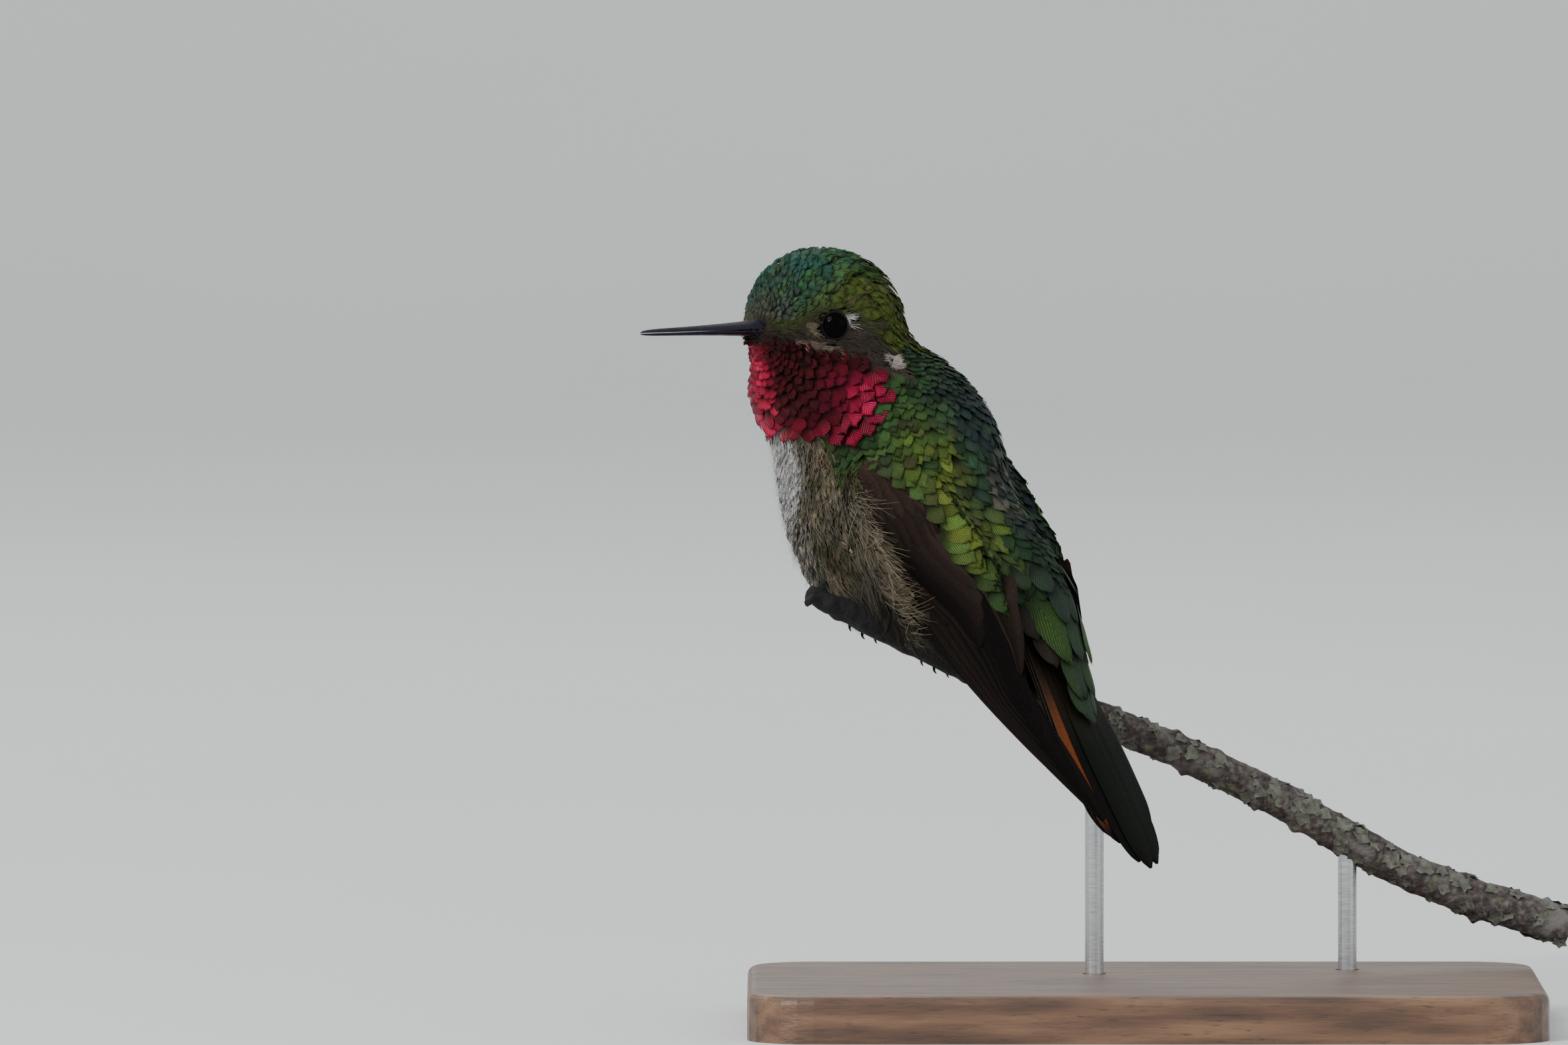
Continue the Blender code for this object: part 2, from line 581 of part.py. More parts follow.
def main():
    for old in list(bpy.data.objects):
        bpy.data.objects.remove(old)
    finishes = {
        "crown": material("crown", (0.03, 0.20, 0.10), 0.35),
        "gorget": material("gorget", (0.45, 0.01, 0.06), 0.3),
        "breast": material("breast", (0.45, 0.42, 0.36), 0.8),
        "plumes": material("plumes", (0.05, 0.04, 0.04), 0.55),
        "horn": material("horn", (0.02, 0.02, 0.025), 0.35),
        "eye": material("eye", (0.005, 0.005, 0.006), 0.05),
        "bark": material("bark", (0.25, 0.22, 0.21), 0.9),
        "wood": material("wood", (0.16, 0.08, 0.04), 0.45),
        "steel": material("steel", (0.6, 0.6, 0.6), 0.3, 1.0),
    }
    head, trunk = make_flesh(finishes)
    make_bill(head, finishes["horn"])
    make_eyes(head, finishes["eye"])
    make_tail(finishes["plumes"])
    for name, place in WINGS.items():
        make_wing(name, finish=finishes["plumes"], **place)
    twig = make_twig(finishes["bark"])
    clear_the_perch(trunk, finishes["breast"])
    for side_name, (side, distance) in LEGS.items():
        make_foot(f"foot_{side_name}", distance, finishes["horn"])
        make_leg(f"leg_{side_name}", distance, side, trunk, finishes["breast"])
    make_stand(twig, finishes["wood"], finishes["steel"])


main()
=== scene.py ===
"""Looks of a life-size male broad-tailed hummingbird on a cut twig, held over a plain display stand.

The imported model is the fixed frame. One smooth skin replaces its flesh. The coat, the flight feathers, the
bark and the fine forms of the eyes, bill and feet are meshes laid on the same solids.
Lengths are millimetres, as in the part's source, and MM turns them into the scene's metres.
"""

import math

import bmesh
import bpy
import numpy as np
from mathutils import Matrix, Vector, noise
from mathutils.bvhtree import BVHTree
from mathutils.kdtree import KDTree


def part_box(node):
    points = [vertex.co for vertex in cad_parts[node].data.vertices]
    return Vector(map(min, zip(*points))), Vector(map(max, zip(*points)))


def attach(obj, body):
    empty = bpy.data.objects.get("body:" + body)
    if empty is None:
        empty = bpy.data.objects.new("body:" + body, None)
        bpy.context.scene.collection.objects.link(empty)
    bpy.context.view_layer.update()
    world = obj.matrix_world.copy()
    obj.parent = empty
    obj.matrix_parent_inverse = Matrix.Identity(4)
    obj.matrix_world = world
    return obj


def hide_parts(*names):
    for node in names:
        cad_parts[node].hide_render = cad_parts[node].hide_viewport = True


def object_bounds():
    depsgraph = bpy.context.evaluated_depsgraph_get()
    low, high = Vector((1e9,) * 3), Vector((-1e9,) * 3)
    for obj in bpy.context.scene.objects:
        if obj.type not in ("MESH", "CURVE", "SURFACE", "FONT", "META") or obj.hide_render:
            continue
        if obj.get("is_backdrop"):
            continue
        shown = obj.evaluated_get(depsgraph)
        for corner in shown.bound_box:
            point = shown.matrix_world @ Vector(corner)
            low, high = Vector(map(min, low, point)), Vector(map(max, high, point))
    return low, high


MM = 0.001
GAP = 0.3  # clearance between neighbouring solids
SEED = 20

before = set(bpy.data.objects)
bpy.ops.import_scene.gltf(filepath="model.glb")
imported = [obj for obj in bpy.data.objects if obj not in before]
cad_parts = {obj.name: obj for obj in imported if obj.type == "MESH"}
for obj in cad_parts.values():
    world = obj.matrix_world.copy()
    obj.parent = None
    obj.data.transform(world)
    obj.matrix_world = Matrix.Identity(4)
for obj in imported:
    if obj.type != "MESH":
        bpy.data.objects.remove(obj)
CAD_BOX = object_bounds()

# ---- the part's own directions and sizes, as its source names them ----
BODY_HEADING = 153.0
HEAD_HEADING = 227.0
BODY_CENTRE = (-25.0, 0.0, 55.3)
SKULL_CENTRE = (-33.9, -0.4, 74.4)
MUZZLE_REACH = 12.0
BILL_START = (MUZZLE_REACH, 0.0, -0.4)  # where the coat begins, in the head's directions
BILL_ROOT = 8.2
BILL_TIP = 28.3
BILL_DROP = 0.42
BILL_HALF_WIDTH = (1.25, 0.32)
BILL_DEPTH = (1.5, 0.66)
BILL_TAPER = 0.45
BILL_UPPER_SHARE = 0.56
BILL_SEAM = 0.08
EYE_RADIUS = 2.2
EYE_AIM = 44.0  # where each eye's lids open, from straight ahead
EYES = {"eye_left": 1.0, "eye_right": -1.0}  # sides
TAIL_BASE = (-14.8, 0.0, -11.0)
TAIL_TIP = (-28.8, 0.0, -38.0)
TAIL_HALF_WIDTH = 5.8
TAIL_ROUNDING = 0.17
WINGS = {
    "wing_left": {"side": 1.0, "wrist": (0.2, 4.6), "tip": (-26.9, -33.3)},
    "wing_right": {"side": -1.0, "wrist": (0.2, 6.2), "tip": (-25.0, -32.0)},
}
WING_FRONT, WING_BACK = 5.8, 6.0
WING_POINT_BACK = 2.5
WING_HAND = (15.0, 29.0)
WING_THICKNESS = (1.5, 0.5)
TWIG_ROUTE = ((-35.4, -8.4, 46.2), (-26.9, -3.5, 41.9), (-15.0, 3.2, 36.2), (-2.5, 9.0, 31.2),
              (13.2, 13.0, 23.9), (29.0, 15.8, 15.1), (45.5, 18.0, 9.2))
TWIG_RADIUS = (1.25, 2.1)
LEGS = {"left": 8.6, "right": 18.4}  # place of each foot from the twig's thin end
TOE_RADIUS = 0.3
TOE_TURN, CLAW_TURN = 105.0, 50.0
TOES = ((0.0, 1.0), (1.7, 0.92), (-1.7, 0.92), (0.25, -0.85))
KNUCKLE_RISE, CLAW_ARCH, CLAW_POINT = 0.10, 0.16, 0.09

# ---- the coat ----
SEAM_FILL = 0.2  # grown before the CAD's faces are joined
GROOVE_FILL = 3.0  # half the width of the grooves that the coat lies across
SKIN_FILL = 0.2
FUSE_VOXEL = 0.42
COAT_DEPTH = (0.35, 1.0)  # on the face, on the body
COAT_CANDIDATES = 30.0  # places tried to the square millimetre
SPINE = ((7.7, 19.1), (5.4, 11.6), (1.6, 2.2), (-5.2, -4.8), (-14.8, -11.0), (-28.8, -38.0))  # forward, up
BAKE_PATCH = 0.003  # across, of each tuft on the bake map


def colour(*values):
    return np.array(values, float)


TEAL = colour(0.018, 0.066, 0.046)
GREEN = colour(0.020, 0.062, 0.016)
OLIVE = colour(0.058, 0.078, 0.012)
LIME_HIGHLIGHT = colour(0.092, 0.128, 0.018)
# SLATE also paints the shade down the middle of the back
SLATE = colour(0.014, 0.020, 0.028)
ROSE = colour(0.215, 0.002, 0.028)
SCARLET = colour(0.500, 0.010, 0.052)
MAROON = colour(0.034, 0.001, 0.002)
DUSKY = colour(0.046, 0.032, 0.022)
WHITE = colour(0.640, 0.620, 0.610)
GREY = colour(0.150, 0.132, 0.096)
BUFF = colour(0.200, 0.158, 0.104)
CINNAMON = colour(0.120, 0.060, 0.028)
RUFOUS = colour(0.150, 0.038, 0.011)
WING_BROWN = colour(0.0024, 0.0016, 0.0013)
WING_PALE = colour(0.052, 0.031, 0.023)
TAIL_BLACK = colour(0.0024, 0.0023, 0.0017)


# ---- directions ----
def unit(heading):
    """Level direction at a heading in degrees."""
    turn = math.radians(heading)
    return np.array((math.cos(turn), math.sin(turn), 0.0))


UP = np.array((0.0, 0.0, 1.0))
FORWARD, LEFT = unit(BODY_HEADING), unit(BODY_HEADING + 90.0)
FACING, FACE_LEFT = unit(HEAD_HEADING), unit(HEAD_HEADING + 90.0)


def body_point(forward, left, up):
    return np.array(BODY_CENTRE) + forward * FORWARD + left * LEFT + up * UP


def head_point(forward, left, up):
    return np.array(SKULL_CENTRE) + forward * FACING + left * FACE_LEFT + up * UP


def body_parts(points):
    """Forward, left and up of points in the body's directions."""
    away = points - np.array(BODY_CENTRE)
    return away @ FORWARD, away @ LEFT, away[:, 2]


def head_parts(points):
    """Forward, left and up of points in the turned head's directions."""
    away = points - np.array(SKULL_CENTRE)
    return away @ FACING, away @ FACE_LEFT, away[:, 2]


def smoothstep(low, high, value):
    share = np.clip((np.asarray(value, float) - low) / (high - low), 0.0, 1.0)
    return share * share * (3.0 - 2.0 * share)


def fade(low, high, value):
    """1 up to the low value, falling to 0 at the high one."""
    return 1.0 - smoothstep(low, high, value)


def between(value, low, high):
    return (value > low) & (value < high)


def mix(a, b, share):
    return a + (b - a) * share


def blend(first, second, share):
    """Colours between two, one for each share."""
    return first + (second - first) * np.asarray(share)[:, None]


def normalised(vectors):
    return vectors / np.maximum(np.linalg.norm(vectors, axis=-1, keepdims=True), 1e-9)


def smooth_curve(points, count):
    """Evenly spaced points on a Catmull-Rom curve, their directions, and the curve's length."""
    points = np.asarray(points, float)
    ends = np.vstack((2 * points[0] - points[1], points, 2 * points[-1] - points[-2]))
    dense = []
    for a, b, c, d in zip(ends, ends[1:], ends[2:], ends[3:]):
        for t in np.linspace(0.0, 1.0, 60, endpoint=False):
            bend = (2 * a - 5 * b + 4 * c - d) * t * t + (3 * b - a - 3 * c + d) * t**3
            dense.append(0.5 * (2 * b + (c - a) * t + bend))
    dense.append(points[-1])
    dense = np.array(dense)
    steps = np.linalg.norm(np.diff(dense, axis=0), axis=1)
    travelled = np.concatenate(([0.0], np.cumsum(steps)))
    even = np.linspace(0.0, travelled[-1], count)
    places = np.stack([np.interp(even, travelled, values) for values in dense.T], axis=1)
    directions = normalised(np.gradient(places, axis=0))
    return places, directions, travelled[-1]


def full_turn(count):
    """Angles spread evenly round a circle."""
    return np.linspace(0.0, 2 * math.pi, count, endpoint=False)


def spokes(across, over, turns):
    """Directions round pairs of crossing ones, one for each turn."""
    return across[..., None, :] * np.cos(turns)[:, None] + over[..., None, :] * np.sin(turns)[:, None]


def frames(directions, reference):
    """Two directions across each of the given ones, the first as near the reference as it can be."""
    across = normalised(reference - directions * (directions @ reference)[:, None])
    return across, np.cross(directions, across)


# ---- meshes ----
def grid_faces(rows, columns):
    """Quads of a grid with this many cells along and across."""
    row, column = np.meshgrid(np.arange(rows), np.arange(columns), indexing="ij")
    first = (row * (columns + 1) + column).ravel()
    return np.stack((first, first + 1, first + columns + 2, first + columns + 1), axis=1)


def tube_faces(rings, sides):
    """Quads of a tube of closed rings."""
    ring, side = np.meshgrid(np.arange(rings - 1), np.arange(sides), indexing="ij")
    here, beside = (ring * sides + side).ravel(), (ring * sides + (side + 1) % sides).ravel()
    return np.stack((here, beside, beside + sides, here + sides), axis=1)


def copies(quads, count, step):
    """The same quads for each of several equal grids of this many vertices."""
    return (quads[None] + (np.arange(count) * step)[:, None, None]).reshape(-1, 4)


def placed(name, data):
    """New object in the scene."""
    made = bpy.data.objects.new(name, data)
    bpy.context.scene.collection.objects.link(made)
    return made


def make_piece(name, vertices, faces, finish, colours=None, vane=None, bake=None, replaced=()):
    """Mesh object from millimetre vertices and quads, riding on the part's one body."""
    mesh = bpy.data.meshes.new(name)
    vertices, faces = np.asarray(vertices, float).reshape(-1, 3), np.asarray(faces)
    mesh.vertices.add(len(vertices))
    mesh.vertices.foreach_set("co", (vertices * MM).astype(np.float32).ravel())
    mesh.loops.add(faces.size)
    mesh.loops.foreach_set("vertex_index", faces.astype(np.int32).ravel())
    mesh.polygons.add(len(faces))
    mesh.polygons.foreach_set("loop_start", np.arange(0, faces.size, faces.shape[1], dtype=np.int32))
    mesh.update(calc_edges=True)
    mesh.shade_smooth()
    if colours is not None:
        rgba = np.ones((len(vertices), 4), np.float32)
        rgba[:, :3] = np.asarray(colours).reshape(-1, 3)
        markings = mesh.color_attributes.new("plume", "FLOAT_COLOR", "POINT")
        markings.data.foreach_set("color", rgba.ravel())
    for map_name, places in (("OFBake", bake), ("vane", vane)):
        if places is not None:
            corners = np.asarray(places, np.float32).reshape(-1, 2)[faces.ravel()]
            mesh.uv_layers.new(name=map_name).data.foreach_set("uv", corners.ravel())
    mesh.materials.append(finish)
    made = placed(name, mesh)
    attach(made, "root")
    if replaced:
        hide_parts(*replaced)
    return made


def fused(nodes, inflate, passes):
    """Vertices and triangles, in metres, of one closed mesh round copies of CAD nodes, with no seams."""
    shape = bmesh.new()
    for node in nodes:
        shape.from_mesh(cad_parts[node].data)
    mesh = bpy.data.meshes.new("fused")
    shape.to_mesh(mesh)
    shape.free()
    work = placed("fused", mesh)
    for step in (SEAM_FILL, inflate):
        swell = work.modifiers.new("swell", "DISPLACE")
        swell.strength, swell.mid_level = step * MM, 0.0
        remesh = work.modifiers.new("remesh", "REMESH")
        remesh.mode, remesh.voxel_size = "VOXEL", FUSE_VOXEL * MM
    calm = work.modifiers.new("calm", "SMOOTH")
    calm.factor, calm.iterations = 0.5, passes
    shrink = work.modifiers.new("shrink", "DISPLACE")
    shrink.strength, shrink.mid_level = -(SEAM_FILL + inflate) * MM, 0.0
    bpy.context.view_layer.update()
    result = bpy.data.meshes.new_from_object(work.evaluated_get(bpy.context.evaluated_depsgraph_get()))
    bpy.data.objects.remove(work)
    bpy.data.meshes.remove(mesh)
    return result


class Surface:
    """A closed mesh that feathers are laid on: nearest places, with smooth outward directions."""

    def __init__(self, mesh):
        mesh.calc_loop_triangles()
        self.places = read(mesh.vertices, "co") / MM
        self.outward = normalised(read(mesh.vertices, "normal"))
        corners = np.empty(len(mesh.loop_triangles) * 3, np.int32)
        mesh.loop_triangles.foreach_get("vertices", corners)
        self.corners = corners.reshape(-1, 3)
        self.tree = BVHTree.FromPolygons(self.places.tolist(), self.corners.tolist())

    def smooth_outward(self, places, index):
        """Outward directions weighted between a triangle's corners."""
        a, b, c = (self.places[self.corners[index, k]] for k in range(3))
        pairs = ((b, c), (c, a), (a, b))
        shares = [np.linalg.norm(np.cross(q - places, r - places), axis=1) for q, r in pairs]
        shares = np.stack(shares, axis=1) + 1e-9
        shares /= shares.sum(axis=1, keepdims=True)
        return normalised((self.outward[self.corners[index]] * shares[..., None]).sum(axis=1))

    def nearest(self, points):
        found = [self.tree.find_nearest(point) for point in points.tolist()]
        places = np.array([hit[0] for hit in found])
        return places, self.smooth_outward(places, np.array([hit[2] for hit in found]))

    def candidates(self, density, seed):
        """Random places all over, this many to the square millimetre."""
        rng = np.random.default_rng(seed)
        a, b, c = (self.places[self.corners[:, k]] for k in range(3))
        area = np.linalg.norm(np.cross(b - a, c - a), axis=1) / 2
        index = rng.choice(len(area), int(area.sum() * density), p=area / area.sum())
        s, t = rng.random((2, len(index)))
        flip = s + t > 1.0
        s, t = np.where(flip, 1.0 - s, s), np.where(flip, 1.0 - t, t)
        places = a[index] + s[:, None] * (b - a)[index] + t[:, None] * (c - a)[index]
        return places, self.smooth_outward(places, index)


def read(data, name):
    values = np.empty(len(data) * 3, np.float32)
    data.foreach_get(name, values)
    return values.reshape(-1, 3).astype(float)


def spread(places, spacing):
    """Indices of places that keep at least their own spacing from those taken before them."""
    tree = KDTree(len(places))
    for index, place in enumerate(places.tolist()):
        tree.insert(place, index)
    tree.balance()
    alive, taken = np.ones(len(places), bool), []
    for index in range(len(places)):
        if alive[index]:
            taken.append(index)
            for _, other, _ in tree.find_range(places[index], spacing[index]):
                alive[other] = False
    return np.array(taken, int)


# ---- how the coat lies, and where a place is on the bird ----
def spine_places(points):
    """For each point: distance along the spine, distance in front of it, and to its left."""
    line, directions, length = smooth_curve(SPINE, 160)
    forward, left, up = body_parts(points)
    flat = np.stack((forward, up), axis=1)
    nearest = ((flat[:, None] - line[None]) ** 2).sum(axis=2).argmin(axis=1)
    along = nearest * length / (len(line) - 1)
    run = directions[nearest]
    front = np.stack((-run[:, 1], run[:, 0]), axis=1)
    ahead = ((flat - line[nearest]) * front).sum(axis=1)
    return along, ahead, left, run


def lie(points, outward):
    """The way the coat lies: back from the bill over the head, then down the body to the tail."""
    _, _, _, run = spine_places(points)
    down = run[:, :1] * FORWARD + run[:, 1:] * UP
    from_bill = points - head_point(*BILL_START)
    distance = np.linalg.norm(from_bill, axis=1)
    share = smoothstep(10.0, 21.0, distance)[:, None]
    way = normalised(from_bill) * (1.0 - share) + down * share
    way = way - outward * (way * outward).sum(axis=1, keepdims=True)
    return normalised(way)


def unwrapped(points):
    """Places on an unwrap of the skin: round the spine, and along it."""
    along, ahead, left, _ = spine_places(points)
    around = np.arctan2(left, ahead) / (2 * math.pi) + 0.5
    span = max(along.max() - along.min(), 1.0)
    return np.stack((around, (along - along.min()) / span), axis=1) * 0.99


# Lines on a folded wing, as distances down it and in front of its middle
SHOULDER_EDGE = ((-1.5, -0.2), (0.0, -1.0), (1.0, -1.8), (2.8, -2.9), (8.0, -3.1), (10.6, -2.3), (13.3, -2.4),
                 (19.2, -4.1), (23.0, -6.2))
FLANK_EDGE = ((-1.5, 0.2), (0.0, 0.8), (4.2, 2.3), (11.0, 4.7), (15.0, 6.6), (20.0, 9.0))
# Where the painted slate shade down the middle of the back begins
SLATE_SHADE_EDGE = ((-4.0, -9.3), (1.8, -9.1), (6.5, -8.4), (11.3, -7.8), (18.0, -6.9), (22.0, -6.2))
WING_START = -1.2  # of the line, down a wing
WING_COVERED = 24.0  # how far down it the flank feathers lie over its front
BESIDE = 3.5  # a place further than this from the middle is on a wing


def wing_place(points, name):
    """Distance down the folded wing from its wrist, and in front of its middle line."""
    forward, _, up = body_parts(points)
    wing = WINGS[name]
    wrist, tip = np.array(wing["wrist"]), np.array(wing["tip"])
    run = (tip - wrist) / np.linalg.norm(tip - wrist)
    flat = np.stack((forward, up), axis=1) - wrist
    return flat @ run, flat @ np.array((-run[1], run[0]))


GORGET_TOP = ((-0.6, -5.2), (1.9, -3.8), (4.1, -3.2), (6.4, -2.5), (8.6, -1.6), (12.0, -1.4))  # forward, up
GORGET_REAR = ((-12.4, 3.6), (-10.5, 3.4), (-8.6, 2.2), (-6.5, 0.9), (-4.0, 0.3))  # up, forward
CAP_EDGE = ((-9.0, -3.0), (-2.1, -1.3), (1.7, 0.7), (3.6, 1.9), (5.5, 2.3), (7.1, 2.0), (8.5, 0.7),
            (12.0, 0.2))  # forward, up
GORGET_FOOT = (-10.6, -10.5)  # up, at the side and in front
HEAD_REACH = 13.5  # from the middle of the skull
FACE_REAR = -2.8  # behind it the cheek's feathers give way to the neck's


def line_at(points, value):
    """Height of a line through a few points."""
    return np.interp(value, [p[0] for p in points], [p[1] for p in points])


def on_gorget(points):
    f, left, u = head_parts(points)
    foot = mix(GORGET_FOOT[1], GORGET_FOOT[0], smoothstep(1.0, 6.0, np.abs(left)))
    inside = (u < line_at(GORGET_TOP, f)) & (f > line_at(GORGET_REAR, u)) & (u > foot)
    return inside & (np.abs(left) < 11.0)


def on_head(points):
    f, _, u = head_parts(points)
    reach = np.linalg.norm(points - np.array(SKULL_CENTRE), axis=1)
    return (u > -4.6 + 0.25 * np.minimum(f, 0.0)) & (reach < HEAD_REACH)


def on_cap(points):
    f, _, u = head_parts(points)
    return on_head(points) & (u > line_at(CAP_EDGE, f)) & ~on_gorget(points)


def on_face(points):
    f, _, _ = head_parts(points)
    return on_head(points) & ~on_cap(points) & ~on_gorget(points) & (f > FACE_REAR)


def near(points, place, radius):
    """1 at a place in the head's directions, on either side, falling to 0 at the radius."""
    f, left, u = head_parts(points)
    away = np.sqrt((f - place[0]) ** 2 + (np.abs(left) - place[1]) ** 2 + (u - place[2]) ** 2)
    return fade(0.5 * radius, radius, away)


def wobble(points, size, seed=0.0):
    """Smooth noise between -1 and 1 at this size in millimetres."""
    return np.array([noise.noise(Vector(p) / size + Vector((seed, seed, seed))) for p in points])


def cap_colours(points):
    """Teal over the forecrown, then green, and olive down the sides; dull where it meets the bill."""
    f, _, u = head_parts(points)
    broad, fine = wobble(points, 2.4), wobble(points, 0.9, 6.0)
    tint = blend(OLIVE, GREEN * 1.1, smoothstep(3.0, 8.5, u + 2.0 * broad))
    tint = blend(tint, TEAL, smoothstep(-1.6, 1.6, f + 0.75 * u - 8.4 + 2.0 * broad))
    tint = blend(tint, GREEN * 1.7, 0.6 * smoothstep(0.1, 0.5, wobble(points, 1.3, 12.0)) * (f > 4.0))
    tint = tint * (1.0 + 0.45 * wobble(points, 1.1, 40.0))[:, None]
    tint = blend(tint, DUSKY * 0.6, 0.65 * smoothstep(0.15, 0.55, fine + 0.25 * broad))
    flecks = smoothstep(0.30, 0.6, wobble(points, 1.2, 30.0))
    tint = blend(tint, DUSKY * colour(1.3, 1.3, 1.5), 0.5 * flecks)
    rough = smoothstep(7.0, 10.4, f + 1.2 * broad)
    return blend(tint, DUSKY * colour(1.5, 1.6, 1.7), 0.75 * rough)


CHEEK_STREAK = ((8.0, 3.4, -1.7), (7.2, 4.1, -1.9), (6.4, 4.8, -2.2), (5.6, 5.4, -2.5), (4.9, 5.9, -2.8))
LORE = (7.2, 4.6, -0.4)  # the pale place before the eye
EYE_SPOT = (4.0, 7.3, 0.6)  # the white one behind it


def face_colours(points):
    """Dusky, with a buff streak under the eye and a white spot behind it."""
    f, _, u = head_parts(points)
    tint = blend(DUSKY * 0.9, DUSKY * 0.45, smoothstep(4.0, 8.5, f))
    mottled = smoothstep(0.1, 0.5, wobble(points, 0.9, 8.0)) * fade(4.0, 7.0, f)
    tint = blend(tint, DUSKY * 1.6, 0.7 * mottled)
    tint = blend(tint, OLIVE, 0.6 * smoothstep(-1.2, 0.6, u - line_at(CAP_EDGE, f) + 0.8))
    for place in CHEEK_STREAK:
        tint = blend(tint, BUFF, 0.75 * near(points, place, 0.6))
    tint = blend(tint, BUFF, 0.6 * near(points, LORE, 0.9))
    return blend(tint, WHITE, near(points, EYE_SPOT, 0.80))


def gorget_colours(points):
    """Dark red, lit up by a painted iridescent sheen at the front, the side and the foot."""
    _, left, u = head_parts(points)
    a = np.abs(left)
    side = smoothstep(3.4, 6.6, a + 1.0 * wobble(points, 1.6, 5.0))
    front = fade(-2.0, 1.1, left + 0.7 * wobble(points, 1.1, 14.0))
    # painted_sheen is painted light: the iridescent gorget's highlight, strongest at the front, then the side
    # and the foot, dimmed by the bill and in random patches.
    painted_sheen = np.maximum(0.8 * side * fade(-5.4, -3.2, u), front)
    painted_sheen = np.maximum(painted_sheen, 0.45 * fade(-10.8, -7.6, u))
    painted_sheen = painted_sheen * (1.0 - 0.85 * smoothstep(-3.4, -1.9, u) * smoothstep(0.8, 2.2, a))
    painted_sheen = painted_sheen * (1.0 - 0.45 * smoothstep(0.0, 0.35, wobble(points, 1.0, 61.0)))
    return blend(MAROON, blend(SCARLET, ROSE, smoothstep(1.0, 4.0, a)), painted_sheen)


GRIZZLED, GRIZZLED_RADIUS = (-11.5, 0.5, 4.6), 5.0  # the worn patch on the back, in the body's directions


def back_colours(points, outward=None):
    """Green over the mantle, a painted yellow-green highlight on the shoulder feathers, and painted slate
    shade down the middle of the back, on faces turned rearward and along the far side.
    """
    along, _, left, _ = spine_places(points)
    down, before = wing_place(points, "wing_left")
    broad, fine = wobble(points, 3.2, 9.0), wobble(points, 1.3, 15.0)
    # The far side is shifted by 1.6 so that its painted slate shade runs wider.
    from_slate = before - line_at(SLATE_SHADE_EDGE, down) + 1.3 * broad - 1.6 * (left < 0.0)
    # A painted highlight: the iridescent green lit yellow-green in a band beside the painted slate shade.
    lime_highlight = smoothstep(0.4, 2.6, from_slate) * (1.0 - 0.55 * smoothstep(3.6, 5.4, from_slate))
    lime_highlight = lime_highlight * smoothstep(-6.0, 3.0, down + 2.0 * broad) * fade(13.5, 22.0, down + 2.0 * broad)
    tint = blend(GREEN * 1.1 + DUSKY * 0.25, LIME_HIGHLIGHT, lime_highlight)
    bluish = smoothstep(0.22, 0.5, wobble(points, 3.0, 3.0))
    tint = blend(tint, GREEN * colour(0.7, 0.75, 1.1), 0.7 * bluish)
    tint = tint * (1.0 + 0.5 * wobble(points, 1.7, 51.0))[:, None]
    tint = blend(tint, DUSKY * colour(0.8, 0.9, 0.7), 0.6 * smoothstep(0.18, 0.5, fine))
    # ridge is painted shade: slate where the iridescent green turns dark, down the middle of the back, on
    # faces turned rearward and on the far side's rim.
    ridge = fade(-0.6, 1.4, before - line_at(SLATE_SHADE_EDGE, down) + 1.2 * broad)
    if outward is not None:
        rearward = -(outward @ FORWARD)
        far_side_painted_shade = smoothstep(0.30, 0.60, rearward) * smoothstep(4.5, 6.0, -left)
        ridge = np.maximum(np.maximum(ridge, smoothstep(0.80, 0.95, rearward)), far_side_painted_shade)
    tint = blend(tint, SLATE, 0.85 * ridge)
    greenish = ridge * smoothstep(0.0, 0.5, wobble(points, 2.0, 23.0))
    tint = blend(tint, GREEN * colour(0.6, 0.7, 0.8), 0.7 * greenish)
    forward, side, up = body_parts(points)
    away = np.stack((forward, np.abs(side), up), axis=1) - GRIZZLED
    worn = fade(0.6, 1.0, np.linalg.norm(away, axis=1) / GRIZZLED_RADIUS)
    tint = blend(tint, GREY * 0.75, 0.7 * worn * smoothstep(0.0, 0.25, wobble(points, 0.7, 27.0)))
    return blend(tint, GREEN * 0.5, 0.75 * smoothstep(31.0, 36.0, along))


